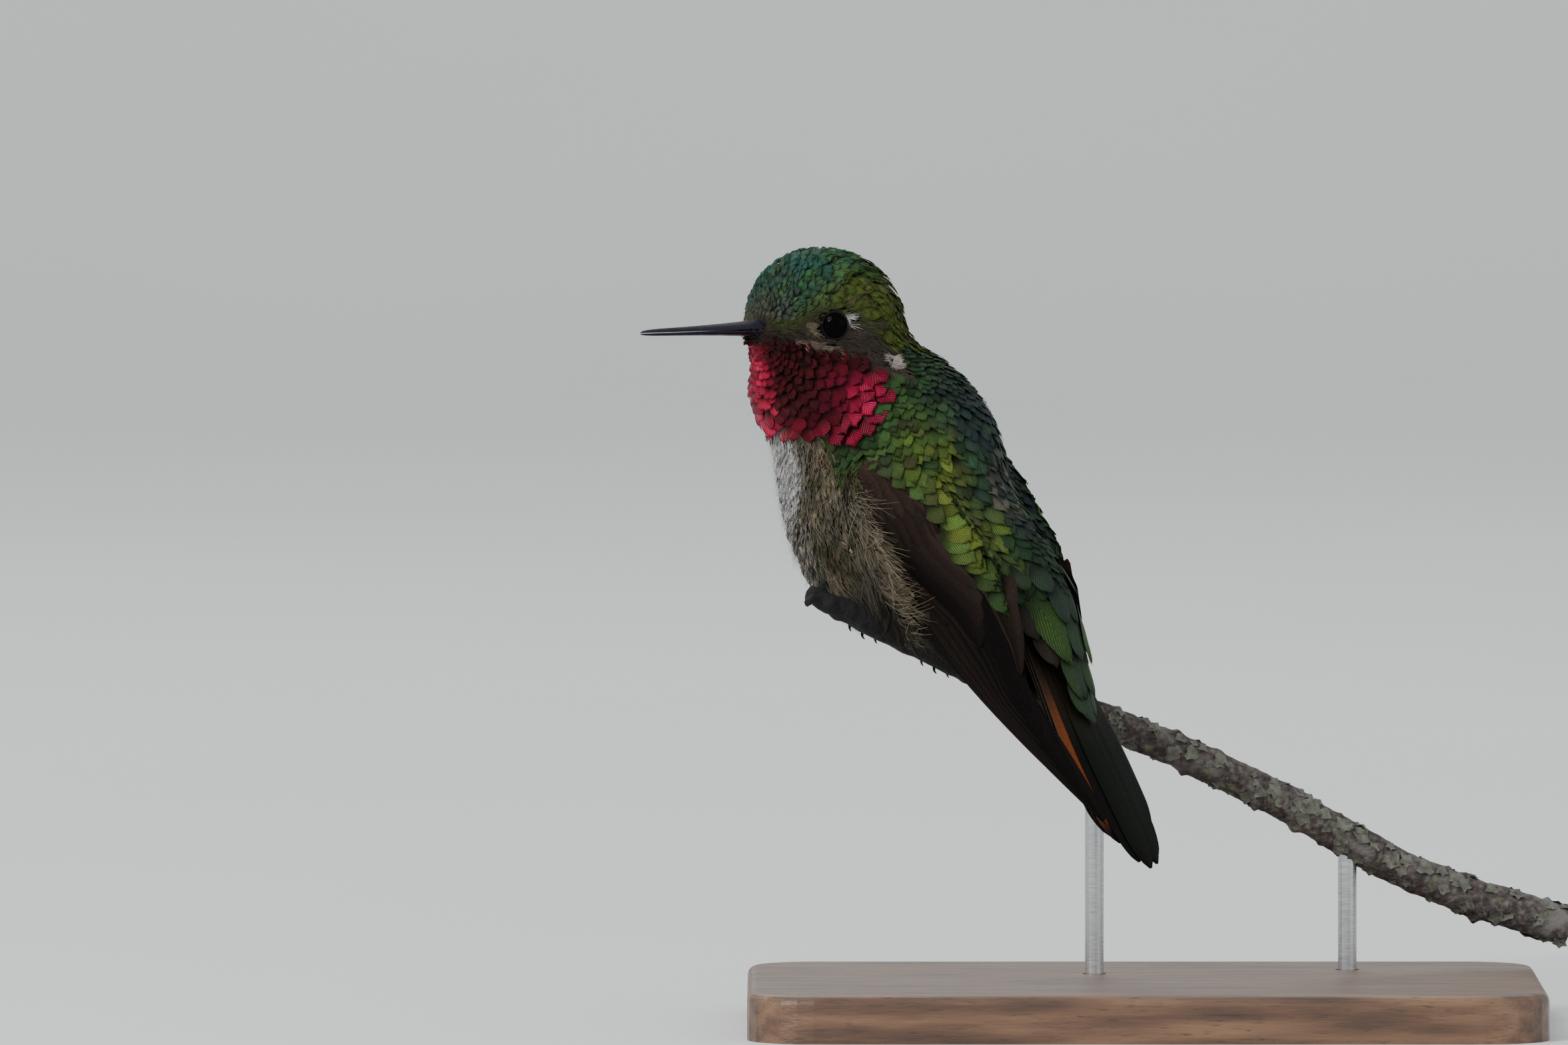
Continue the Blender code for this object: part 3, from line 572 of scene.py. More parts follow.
def breast_colours(points):
    """White on the upper breast, mottled grey and buff below, green by the wing."""
    along, ahead, left, _ = spine_places(points)
    streaked = np.stack((0.35 * along, ahead, left), axis=1)
    broad, fine = wobble(streaked, 1.5, 7.0), wobble(streaked, 0.8, 17.0)
    pale = smoothstep(-0.4, 1.0, ahead - mix(4.9, 8.6, smoothstep(12.5, 20.0, along)) + 0.5 * broad)
    pale = pale * (1.0 - 0.8 * smoothstep(13.5, 17.5, along + 1.5 * broad)) * fade(18.0, 23.0, along)
    pale = pale * smoothstep(8.0, 10.5, along + 0.8 * broad)
    tint = blend(GREY, BUFF * 0.58, smoothstep(14.0, 26.0, along))
    tint = blend(tint, DUSKY * colour(1.1, 1.15, 0.9), 0.75 * smoothstep(0.05, 0.45, broad))
    tint = blend(tint, BUFF * colour(1.2, 1.1, 1.0), 0.6 * smoothstep(0.12, 0.45, fine))
    specks = smoothstep(0.25, 0.55, wobble(streaked, 0.7, 33.0)) * (ahead > 6.0)
    tint = blend(tint, WHITE * 0.6, 0.35 * specks * fade(15.0, 17.0, along))
    tint = blend(tint, WHITE, pale)
    tint = blend(tint, OLIVE * 0.8, 0.9 * fade(0.8, 1.8, ahead) * fade(16.0, 18.0, along))
    beside = np.exp(-(((ahead - 1.2 - 0.1 * along) / 0.9) ** 2)) * smoothstep(14.5, 17.0, along)
    tint = blend(tint, BUFF, 0.5 * beside * fade(22.0, 25.0, along))
    tint = blend(tint, OLIVE * 0.55, 0.6 * smoothstep(0.12, 0.4, wobble(points, 1.1, 71.0)))
    streak = np.exp(-(((ahead - 2.1 - 0.3 * broad) / 0.32) ** 2)) * fade(15.0, 16.5, along)
    return blend(tint, CINNAMON, 0.75 * streak)


def on_breast(points):
    """Breast, belly and flanks, with the flank feathers that lie over the front of each wing."""
    _, ahead, left, _ = spine_places(points)
    breast = ahead > 0.6 + 3.8 * smoothstep(7.5, 12.0, body_parts(points)[2])
    for name, wing in WINGS.items():
        along, before = wing_place(points, name)
        front = line_at(FLANK_EDGE, along)
        beside = (left * wing["side"] > BESIDE) & (along > WING_START)
        breast = np.where(beside & (along < WING_COVERED), before > front, breast)
    return breast


def coat_colours(points):
    """The bird's markings at any place, for skin and feathers alike."""
    tint = np.where(on_breast(points)[:, None], breast_colours(points), back_colours(points))
    for region, paint in ((on_cap, cap_colours), (on_face, face_colours), (on_gorget, gorget_colours)):
        inside = region(points)
        if inside.any():
            tint[inside] = paint(points[inside])
    return tint


# ---- materials ----
class Nodes:
    """Short hand for building one material's nodes."""

    def __init__(self, name):
        self.material = bpy.data.materials.new(name)
        self.material.use_nodes = True
        self.tree = self.material.node_tree
        self.shader = self.tree.nodes["Principled BSDF"]

    def add(self, kind, **settings):
        node = self.tree.nodes.new(kind)
        for key, value in settings.items():
            if hasattr(node, key):
                setattr(node, key, value)
            else:
                node.inputs[key.replace("_", " ")].default_value = value
        return node

    def link(self, source, target):
        self.tree.links.new(source, target)

    def math(self, operation, first, second=0.0, third=0.0):
        node = self.tree.nodes.new("ShaderNodeMath")
        node.operation = operation
        for socket, value in zip(node.inputs, (first, second, third)):
            if isinstance(value, (int, float)):
                socket.default_value = value
            else:
                self.link(value, socket)
        return node.outputs[0]

    def mixed(self, share, first, second, blend_type="MIX"):
        node = self.tree.nodes.new("ShaderNodeMix")
        node.data_type, node.blend_type = "RGBA", blend_type
        for number, value in ((0, share), (6, first), (7, second)):
            socket = node.inputs[number]
            if isinstance(value, (int, float)):
                socket.default_value = value
            elif isinstance(value, (tuple, np.ndarray)):
                socket.default_value = (*value, 1.0)
            else:
                self.link(value, socket)
        return node.outputs[2]

    def place(self):
        return self.add("ShaderNodeTexCoord").outputs["Object"]

    def stretched(self, *scale):
        node = self.add("ShaderNodeMapping")
        node.inputs["Scale"].default_value = scale
        self.link(self.place(), node.inputs["Vector"])
        return node.outputs[0]

    def noise(self, size, detail=3.0, vector=None):
        """Noise with features about this many millimetres across."""
        node = self.add("ShaderNodeTexNoise", Scale=1.0 / (size * MM), Detail=detail)
        self.link(vector or self.place(), node.inputs["Vector"])
        return node.outputs["Fac"]

    def ramp(self, value, stops):
        node = self.add("ShaderNodeValToRGB")
        elements = node.color_ramp.elements
        while len(elements) < len(stops):
            elements.new(0.5)
        for element, (position, tint) in zip(elements, stops):
            element.position = position
            element.color = (tint, tint, tint, 1.0) if isinstance(tint, float) else (*tint, 1.0)
        self.link(value, node.inputs["Fac"])
        return node.outputs["Color"]

    def bump(self, height, distance, strength=1.0):
        """Raise the surface by a share of this many millimetres."""
        node = self.add("ShaderNodeBump", Strength=strength, Distance=distance * MM)
        self.link(height, node.inputs["Height"])
        self.link(node.outputs["Normal"], self.shader.inputs["Normal"])

    def feed(self, source, name):
        self.link(source, self.shader.inputs[name])

    def set(self, **values):
        for key, value in values.items():
            self.shader.inputs[key.replace("_", " ")].default_value = value
        return self.material


def barbs(nodes, count, slant):
    """Fine lines that run outwards and forwards from the shaft of a vane, between 0 and 1."""
    split = nodes.add("ShaderNodeSeparateXYZ")
    nodes.link(nodes.add("ShaderNodeUVMap", uv_map="vane").outputs["UV"], split.inputs[0])
    across = nodes.math("ABSOLUTE", nodes.math("SUBTRACT", split.outputs[0], 0.5))
    run = nodes.math("SUBTRACT", split.outputs[1], nodes.math("MULTIPLY", across, slant))
    wave = nodes.math("SINE", nodes.math("MULTIPLY", run, count * 2 * math.pi))
    return nodes.math("MULTIPLY_ADD", wave, 0.5, 0.5)


def plumage(name, metallic, roughness, count, slant=0.9, lines=0.45, raised=0.05, gloss=0.35):
    """Feathers that take their colour from the markings, with barb lines and uneven gloss."""
    nodes = Nodes(name)
    tint = nodes.add("ShaderNodeAttribute", attribute_name="plume").outputs["Color"]
    line = barbs(nodes, count, slant)
    grain = nodes.noise(0.35, 4.0)
    shade = nodes.math("MULTIPLY_ADD", line, lines, 1.0 - 0.6 * lines)
    uneven = nodes.math("MULTIPLY_ADD", grain, 0.9, 0.55)
    grey = nodes.add("ShaderNodeCombineColor")
    both = nodes.math("MULTIPLY", shade, uneven)
    for socket in grey.inputs[:3]:
        nodes.link(both, socket)
    nodes.feed(nodes.mixed(1.0, tint, grey.outputs[0], "MULTIPLY"), "Base Color")
    nodes.feed(nodes.math("MULTIPLY_ADD", grain, 0.3, roughness - 0.15), "Roughness")
    nodes.bump(nodes.math("ADD", line, nodes.math("MULTIPLY", grain, 0.6)), raised)
    return nodes.set(Metallic=metallic, Specular_IOR_Level=gloss)


def down(name, roughness=0.9, sheen=0.08):
    """Soft barbs and the skin under them: markings only, with a soft fine grain."""
    nodes = Nodes(name)
    tint = nodes.add("ShaderNodeAttribute", attribute_name="plume").outputs["Color"]
    grain = nodes.noise(0.5, 5.0)
    shade = nodes.ramp(grain, ((0.3, 0.72), (0.7, 1.2)))
    nodes.feed(nodes.mixed(1.0, tint, shade, "MULTIPLY"), "Base Color")
    nodes.bump(nodes.noise(0.18, 3.0), 0.05)
    return nodes.set(Roughness=roughness, Specular_IOR_Level=0.2, Sheen_Weight=sheen, Sheen_Roughness=0.6)


# ---- coat feathers ----
LAID_STEPS = 5  # from each root along the coat's lie
VANE_LOOK = {  # of a vane, where its region says nothing else
    "stray": 0.10,  # chance turns away from the coat's lie
    "lean": 0.0,  # turns on purpose
    "flat": 0.0,  # share of one direction kept over the whole feather
    "wrap": 0.0,  # share of the body's own curve across the feather
    "root": 0.5,  # width at the root
    "bulge": 0.5,  # place where it starts to narrow
    "super": 2.4,  # squareness of the tip
    "ragged": 0.05,
    "round": 0.12,  # how far the edges lie behind the shaft
    "bend": 0.8,
    "camber": 0.10,
    "shaft": 0.02,
    "hue": 0.03,
    "shade": 0.35,  # brightness at the root: partly the feather's dusky base, partly painted shade under the feather before it
    "fringe_and_shade": 0.45,  # darkening at the tip: partly a dark edge, partly painted shade along its step onto the next feather
    "flicker": 0.25,  # brightness from feather to feather
}
TUFT_LOOK = {"stray": 0.18, "curl": 0.10, "lift": 0.0, "bend": 0.75, "dark_root": 0.0, "flicker": 0.2}


def laid_paths(cover, places, outward, length, turn, rows):
    """Steps from each root along the coat's lie, on the cover: places, outward and forward ways."""
    path, normals, ways = [places], [outward], []
    for _ in range(rows):
        way = lie(path[-1], normals[-1])
        way = way * np.cos(turn)[:, None] + np.cross(normals[-1], way) * np.sin(turn)[:, None]
        ways.append(way)
        place, normal = cover.nearest(path[-1] + way * (length / rows)[:, None])
        path.append(place)
        normals.append(normal)
    ways.append(ways[-1])
    return np.stack(path, 1), np.stack(normals, 1), np.stack(ways, 1)


def vanes(name, cover, roots, size, look, finish, tints):
    """Thin round-ended feathers with a shaft, all of one piece."""
    look = {**VANE_LOOK, **look}
    places, outward = roots
    rng = np.random.default_rng(SEED)
    count, rows, columns = len(places), look["rows"], look["columns"]
    length = size[0] * rng.uniform(0.88, 1.12, count)
    width = size[1] * rng.uniform(0.9, 1.1, count)
    turn = rng.normal(0.0, look["stray"], count) + look["lean"]
    s = 1.0 - (1.0 - np.linspace(0.0, 1.0, rows + 1)) ** 1.5
    step = np.minimum((s * LAID_STEPS).astype(int), LAID_STEPS - 1)
    part = (s * LAID_STEPS - step)[None, :, None]
    laid = laid_paths(cover, places, outward, length, turn, LAID_STEPS)
    path, normals, ways = (mix(values[:, step], values[:, step + 1], part) for values in laid)
    normals, ways = (normalised(mix(values, values.mean(axis=1, keepdims=True), look["flat"]))
                     for values in (normals, ways))
    sides = normalised(np.cross(ways, normals))
    s = s[None, :, None]
    x = np.linspace(-1.0, 1.0, columns + 1)[None, None, :]
    tip = np.clip((s - look["bulge"]) / (1.0 - look["bulge"]), 0.0, 1.0)
    swell = np.maximum(1.0 - tip ** look["super"], 0.03) ** 0.5
    swell = mix(look["root"], 1.0, smoothstep(0.0, 0.5, s)) * swell
    ragged = look["ragged"] * rng.uniform(-1.0, 1.0, (count, 1, columns + 1)) * s**4
    back = ragged - look["round"] * x**2 * s**2
    rise = (look["rise"] * rng.uniform(0.6, 1.4, count))[:, None, None]
    tints = tints * (1.0 + look["hue"] * rng.uniform(-1.0, 1.0, (count, 3)) * (1.0, 0.5, 1.0))
    height = (look["depth"] + rise) * s ** look["bend"] - look["depth"] - look["camber"] * x**2 * swell
    height = height + look["shaft"] * np.exp(-((x / 0.14) ** 2))
    roll = rng.normal(0.0, 0.04, count)[:, None, None] * x * s
    base = (
        path[:, :, None]
        + sides[:, :, None] * (x * swell * (width / 2)[:, None, None])[..., None]
        + ways[:, :, None] * (back * length[:, None, None])[..., None]
    )
    up = np.broadcast_to(normals[:, :, None], base.shape)
    wrap = look["wrap"]
    if wrap > 0.0:  # bend the vane round the body, across its shaft as well as along it
        laid, outwards = (values.reshape(base.shape) for values in cover.nearest(base.reshape(-1, 3)))
        base, up = mix(base, laid, wrap), normalised(mix(up, outwards, 0.7 * wrap))
    points = base + up * ((height + roll) * np.ones_like(x))[..., None]
    # Painted shade, together with the feather's own dusky base and dark tip: darker at the root, the tip and
    # the sides, where neighbouring feathers lie; then brightness that varies from feather to feather.
    shade = mix(look["shade"], 1.0, smoothstep(0.15, 0.60, s))
    shade = shade * (1.0 - look["fringe_and_shade"] * smoothstep(0.80, 1.0, s)) * (1.0 - 0.25 * np.abs(x) ** 3)
    shade = shade * rng.uniform(1.0 - look["flicker"], 1.0 + look["flicker"], count)[:, None, None]
    colours = tints[:, None, None] * shade[..., None]
    vane = np.stack(np.broadcast_arrays((x + 1) / 2, s), axis=-1) * np.ones((count, 1, 1, 1))
    bake = unwrapped(places)[:, None, None] + BAKE_PATCH * vane
    faces = copies(grid_faces(rows, columns), count, (rows + 1) * (columns + 1))
    return make_piece(name, points, faces, finish, colours, vane, bake)


def tufts(name, cover, roots, size, look, finish, tints, seed=SEED):
    """Loose feathers of separate fine barbs."""
    look = {**TUFT_LOOK, **look}
    places, outward = roots
    rng = np.random.default_rng(seed)
    count, rows, strands = len(places), look["rows"], look["strands"]
    each = (count, 1, strands, 1)
    length = size[0] * rng.uniform(0.8, 1.2, count)
    turn = rng.normal(0.0, look["stray"], count)
    path, normals, ways = laid_paths(cover, places, outward, length, turn, rows)
    sides = np.cross(ways, normals)
    s = np.linspace(0.0, 1.0, rows + 1)[None, :, None, None]
    x = (np.linspace(-1.0, 1.0, strands) + rng.normal(0.0, 0.12, (count, strands)))[:, None, :, None]
    edge = np.array((-1.0, 1.0))[None, None, None]
    splay = x * s**0.8 * (size[1] * rng.uniform(0.75, 1.25, count))[:, None, None, None] / 2
    thin = look["barb"] * (1.0 - 0.8 * s) / 2
    short = rng.uniform(0.72, 1.08, each) - 0.22 * x**2
    curl = rng.normal(0.0, look["curl"], each) * s**2
    lift = np.broadcast_to(look["lift"], count)[:, None, None, None]
    rise = look["rise"] * rng.uniform(0.3, 1.7, each) + lift
    height = (look["depth"] + rise) * s ** look["bend"] - look["depth"] - 0.12 * x**2 * s + curl
    reach = ((short - 1.0) * s) * length[:, None, None, None]
    points = (
        path[:, :, None, None]
        + sides[:, :, None, None] * (splay + edge * thin)[..., None]
        + ways[:, :, None, None] * (reach * np.ones_like(edge))[..., None]
        + normals[:, :, None, None] * (height * np.ones_like(edge))[..., None]
    )
    # Darker towards the root: partly the barbs' own darker bases, partly painted shade under the feathers
    # above.
    shade = mix(0.55 - look["dark_root"], 1.0, s) * rng.uniform(0.75, 1.2, each) * np.ones_like(edge)
    shade = shade * rng.uniform(1.0 - look["flicker"], 1.0 + look["flicker"], count)[:, None, None, None]
    colours = tints[:, None, None, None] * shade[..., None]
    vane = np.stack(np.broadcast_arrays((x + edge * 0.05 + 1) / 2, s * np.ones_like(x * edge)), axis=-1)
    bake = unwrapped(places)[:, None, None, None] + BAKE_PATCH * np.clip(vane, 0.0, 1.0)
    first = (np.arange(rows)[:, None] * strands * 2 + np.arange(strands)[None] * 2).ravel()
    quads = np.stack((first, first + 1, first + 1 + strands * 2, first + strands * 2), axis=1)
    faces = copies(quads, count, (rows + 1) * strands * 2)
    return make_piece(name, points, faces, finish, colours, vane, bake)


# ---- skin and coat ----
FLESH = ("head", "neck", "trunk", "leg_left", "leg_right")
COVERED = ("head", "neck", "trunk", *WINGS, "tail", *EYES)  # the feathers are laid over all of these


def make_skin(finish):
    """One skin for all the flesh, as deep below the outline as the coat is thick."""
    mesh = fused(FLESH, SKIN_FILL, 5)
    surface = Surface(mesh)
    face = np.linalg.norm(surface.places - head_point(5.0, 0.0, 0.0), axis=1)
    depth = mix(*COAT_DEPTH, smoothstep(8.0, 16.0, face))
    quads = np.empty(len(mesh.loops), np.int32)
    mesh.loops.foreach_get("vertex_index", quads)
    skin = surface.places - surface.outward * depth[:, None]
    make_piece(
        "skin", skin, quads.reshape(-1, 4), finish, coat_colours(surface.places) * 0.55,
        bake=unwrapped(surface.places), replaced=FLESH,
    )


def bare_wing(points):
    """Where the flight feathers show, between the flank's feathers and those of the shoulder."""
    _, left, _ = body_parts(points)
    bare = np.zeros(len(points), bool)
    for name, wing in WINGS.items():
        along, ahead = wing_place(points, name)
        shown = between(ahead, line_at(SHOULDER_EDGE, along), line_at(FLANK_EDGE, along))
        bare |= shown & (along > WING_START) & (left * wing["side"] > BESIDE)
    return bare


LID_REACH = 1.52  # from the middle of the eye out to the first feathers
BEHIND_EYE = -0.5  # along the gaze: places further back are past the lids


def eye_centre(node):
    low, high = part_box(node)
    return (np.array(low) + np.array(high)) / 2 / MM


def gaze(side):
    turn = math.radians(EYE_AIM)
    return math.cos(turn) * FACING + side * math.sin(turn) * FACE_LEFT


def past_eye(places, node):
    """From an eye's middle to each place: the whole way, the part across the gaze, and the part along it."""
    aim = gaze(EYES[node])
    away = places - eye_centre(node)
    return away, away - (away @ aim)[:, None] * aim, away @ aim


def eye_room(places, outward, length):
    """Length left to each feather before it would reach over an eye's lid."""
    for node in EYES:
        _, flat, front = past_eye(places, node)
        distance = np.linalg.norm(flat, axis=1)
        towards = -(lie(places, outward) * flat).sum(axis=1) / np.maximum(distance, 0.1)
        room = (distance - LID_REACH) / np.maximum(towards, 0.3)
        room = np.where((front > BEHIND_EYE) & (towards > 0.0), room, 9.0)
        length = np.minimum(length, np.maximum(room, 0.35))
    return length


def clear_of_eyes(places):
    """Where no lid is; feathers start a little nearer to it behind the eye."""
    clear = np.ones(len(places), bool)
    for node in EYES:
        away, flat, front = past_eye(places, node)
        margin = np.where((away @ FACING) < 0.4 * (away @ UP), -0.10, 0.12)
        clear &= (np.linalg.norm(flat, axis=1) > LID_REACH + margin) | (front < BEHIND_EYE)
    return clear


COAT = {
    "cap": dict(rows=6, columns=6, depth=0.30, fringe_and_shade=0.10, ragged=0.22, flicker=0.22, stray=0.28, bulge=0.40,
                camber=0.05, hue=0.10, flat=0.3, wrap=0.7),
    "gorget": dict(rows=7, columns=8, depth=0.40, fringe_and_shade=0.65, ragged=0.04, bulge=0.62, root=0.6, round=0.14,
                   flicker=0.40, camber=0.16, hue=0.05, shade=0.12),
    "face": dict(rows=4, strands=6, depth=0.25, rise=0.10, barb=0.09),
    "ear": dict(rows=4, strands=12, depth=0.2, rise=0.4, barb=0.05, stray=0.9, curl=0.15, flicker=0.45),
    "back": dict(rows=9, columns=8, depth=0.35, fringe_and_shade=0.35, bulge=0.30, round=0.10, flicker=0.30, stray=0.14,
                 hue=0.12, shade=0.2, super=1.9, flat=0.8, wrap=0.85),
    "scales": dict(rows=5, columns=6, depth=0.5, fringe_and_shade=-0.20, ragged=0.25, bulge=0.35, round=0.20,
                   camber=0.12, stray=0.25, shade=0.5),
    "breast": dict(rows=6, strands=9, depth=0.5, rise=0.30, barb=0.10, stray=0.26, curl=0.25, flicker=0.30,
                   dark_root=0.3),
    "flank": dict(rows=7, strands=4, depth=0.4, rise=1.1, barb=0.085, stray=0.5, curl=0.5, flicker=0.4),
    "tail_over": dict(rows=14, columns=14, depth=0.15, fringe_and_shade=0.30, ragged=0.03, round=0.06, flicker=0.12,
                      camber=0.22, stray=0.04, shaft=0.05),
    "tail_under": dict(rows=6, strands=14, depth=0.2, rise=0.35, barb=0.13, flicker=0.3),
}


EAR_TUFT = (-1.9, 8.2, -4.1)  # in the head's directions
# From the tail's root, aside, length, width, green over slate, brown over both, turn inwards
TAIL_COVERTS = (
    ((1.5, 5.8, 6.5, 2.4, 0.0, 1.0, 0.08), (-1.5, 6.4, 6.0, 2.6, 0.1, 0.9, 0.10)),
    ((8.5, 0.0, 6.0, 2.8, 0.3, 0.0, 0.0), (7.6, 2.0, 6.6, 2.8, 0.5, 0.0, 0.05)),
    ((3.5, 0.0, 7.0, 3.2, 0.3, 0.0, 0.0), (4.2, 2.5, 7.0, 3.0, 0.6, 0.1, 0.10)),
    ((0.5, 0.0, 6.5, 3.2, 0.4, 0.0, 0.0), (0.6, 2.4, 6.5, 3.0, 0.6, 0.2, 0.0)),
    ((-2.4, 5.7, 11.8, 3.4, 1.0, 0.1, 0.28), (-2.5, 1.3, 5.5, 2.8, 0.3, 0.0, 0.0)),
    ((-4.2, 2.9, 4.6, 2.6, 0.3, 0.0, 0.0), (-4.6, 5.6, 3.8, 2.2, 0.5, 0.3, 0.0)),
)
BILL_EDGE_ROWS = (10.9, 11.5, 12.0, 12.5)  # ahead of the skull's middle; the last is on the upper half only


def tail_ways():
    """The tail's root, its direction, the way up from it, and its length."""
    base, tip = body_point(*TAIL_BASE), body_point(*TAIL_TIP)
    length = np.linalg.norm(tip - base)
    run = (tip - base) / length
    return base, run, np.cross(LEFT, run), length


def bill_edge():
    """Roots of the short feathers that start on the bill itself and lie back over the face."""
    places, outward = [], []
    for forward in BILL_EDGE_ROWS:
        for turn in full_turn(22):
            if forward == BILL_EDGE_ROWS[-1] and math.sin(turn) < -0.1:
                continue
            ray = math.cos(turn) * FACE_LEFT + math.sin(turn) * UP
            reach = np.array((BILL_HALF_WIDTH[0], BILL_DEPTH[0] * 0.52)) * (math.cos(turn), math.sin(turn))
            places.append(head_point(forward, reach[0], reach[1] - BILL_DROP) + ray * GAP)
            outward.append(ray)
    return np.array(places), np.array(outward)


BACK_END, BELLY_START, BELLY_END = 38.0, 22.0, 40.0  # along the spine
FLANK_STRIP, FLANK_REACH = (-0.2, 2.4), (2.0, 21.0)  # of the flank's loose barbs: over the edge, down the wing


class Coat:
    """Every body feather, in pieces by region. The regions share one set of seeded places."""

    def __init__(self, cover, shiny, soft):
        self.cover, self.shiny, self.soft = cover, shiny, soft
        places, outward = cover.candidates(COAT_CANDIDATES, SEED)
        self.places, self.outward = (values[clear_of_eyes(places)] for values in (places, outward))
        places = self.places
        self.along, self.ahead, self.left, _ = spine_places(places)
        self.down, self.before_wing = wing_place(places, "wing_left")
        self.from_bill = np.linalg.norm(places - head_point(*BILL_START), axis=1)
        self.low = smoothstep(19.0, 30.0, self.along)
        self.gorget, self.cap, self.face = on_gorget(places), on_cap(places), on_face(places)
        body = ~(self.gorget | self.cap | self.face) & ~bare_wing(places) & (self.along < BELLY_END)
        self.before = body & on_breast(places)
        self.behind = body & ~self.before & (self.along < BACK_END)
        self.tints = coat_colours(places)
        self.tints[self.behind] = back_colours(places[self.behind], self.outward[self.behind])

    def region(self, mask, spacing):
        """Places and outward directions of a region's feathers, and their indices."""
        index = np.flatnonzero(mask)
        at = index[spread(self.places[index], np.broadcast_to(spacing, len(self.places))[index])]
        return (self.places[at], self.outward[at]), at

    def make(self):
        self.make_cap()
        self.make_gorget()
        self.make_face()
        self.make_ear_tufts()
        self.make_back()
        self.make_breast()
        self.make_flank()
        self.make_tail_coverts()

    def make_cap(self):
        spacing = 0.34 + 0.30 * smoothstep(2.0, 14.0, self.from_bill)
        roots, at = self.region(self.cap, spacing)
        nape = fade(-8.0, -3.0, head_parts(roots[0])[0])
        length = eye_room(*roots, spacing[at] * (3.3 + nape))
        look = {**COAT["cap"], "rise": 0.16 + 0.10 * nape}
        vanes("coat_cap", self.cover, roots, (length, spacing[at] * 1.8), look, self.shiny["cap"],
              self.tints[at])

    def make_gorget(self):
        spacing = mix(0.46, 1.22, smoothstep(3.0, 15.5, self.from_bill))
        roots, at = self.region(self.gorget, spacing)
        look = {**COAT["gorget"], "rise": 0.20 + 0.45 * fade(-10.6, -8.0, head_parts(roots[0])[2])}
        vanes("coat_gorget", self.cover, roots, (spacing[at] * 2.5, spacing[at] * 1.9), look,
              self.shiny["gorget"], self.tints[at])

    def make_face(self):
        """Short soft feathers, with a last few rows on the bill itself."""
        spacing = 0.30 + 0.14 * smoothstep(4.0, 14.0, self.from_bill)
        roots, at = self.region(self.face, spacing)
        rim = bill_edge()
        rim_tints = np.where((rim[1][:, 2] < -0.35)[:, None], MAROON, DUSKY * 0.6)
        length = np.concatenate((eye_room(*roots, spacing[at] * 3.6), np.full(len(rim[0]), 1.7)))
        roots = [np.concatenate(pair) for pair in zip(roots, rim)]
        tufts("coat_face", self.cover, roots, (length, length * 0.55), COAT["face"], self.soft,
              np.concatenate((self.tints[at], rim_tints)))

    def make_ear_tufts(self):
        """The small white tuft behind each ear."""
        rng = np.random.default_rng(SEED + 5)
        starts = []
        for side in (1.0, -1.0):
            for f, u in rng.normal(0.0, 0.26, (30, 2)):
                starts.append(head_point(EAR_TUFT[0] + f, side * EAR_TUFT[1], EAR_TUFT[2] + 1.7 * u))
        tints = np.tile(WHITE * colour(0.9, 0.75, 0.70), (len(starts), 1))
        tufts("coat_ear_tufts", self.cover, self.cover.nearest(np.array(starts)), (0.95, 0.7), COAT["ear"],
              self.soft, tints)

    def make_back(self):
        """Scales from the neck to the rump, larger over the wings and smaller round their rear edges."""
        on_wing = (np.abs(self.left) > 5.5) & (self.down > 0.0)
        large = smoothstep(0.0, 12.0, self.down) * smoothstep(-8.5, -6.0, self.before_wing)
        spacing = mix(0.62, 1.0, smoothstep(8.0, 20.0, self.along)) + 0.35 * large
        rim = smoothstep(0.25, 0.60, -(self.outward @ FORWARD)) * smoothstep(4.5, 6.0, np.abs(self.left))
        small = np.maximum(0.5 * smoothstep(30.0, 34.0, self.along), 0.8 * rim)
        spacing = spacing - small * (spacing - 0.75)
        for name, side in (("coat_back_left", self.left > 0.0), ("coat_back_right", self.left <= 0.0)):
            roots, at = self.region(self.behind & side, spacing)
            look = {**COAT["back"], "rise": (0.14 + 0.14 * on_wing[at]) * (1.0 - 0.6 * rim[at])}
            vanes(name, self.cover, roots, (spacing[at] * 3.3, spacing[at] * 2.2), look, self.shiny["back"],
                  self.tints[at])

    def make_breast(self):
        """Scales with loose barbs over them, which hang over the twig on the near side."""
        spacing = mix(0.60, 0.90, self.low)
        roots, at = self.region(self.before, spacing)
        full = smoothstep(2.0, 7.0, self.ahead) * fade(20.0, 28.0, self.along)
        full = full * mix(0.5, 1.0, smoothstep(12.0, 17.0, self.along))
        look = {**COAT["scales"], "rise": 0.10 + 0.50 * full[at]}
        vanes("coat_breast_scales", self.cover, roots, (spacing[at] * 3.2, spacing[at] * 2.2), look,
              self.shiny["pale"], self.tints[at])
        over_twig = smoothstep(7.5, 9.0, self.down) * fade(13.5, 15.0, self.down)
        over_twig = over_twig * smoothstep(6.0, 7.5, self.before_wing) * smoothstep(3.5, 5.5, self.left)
        upper = self.along < BELLY_START
        for name, mask in (("coat_breast", upper), ("coat_belly", ~upper)):
            roots, at = self.region(self.before & mask, mix(0.62, 0.70, self.low))
            look = {**COAT["breast"], "lift": 0.75 * full[at] + 1.9 * over_twig[at]}
            size = (mix(2.4, 6.0, self.low[at]) + 1.5 * over_twig[at], mix(1.7, 2.5, self.low[at]))
            tufts(name, self.cover, roots, size, look, self.soft, self.tints[at])

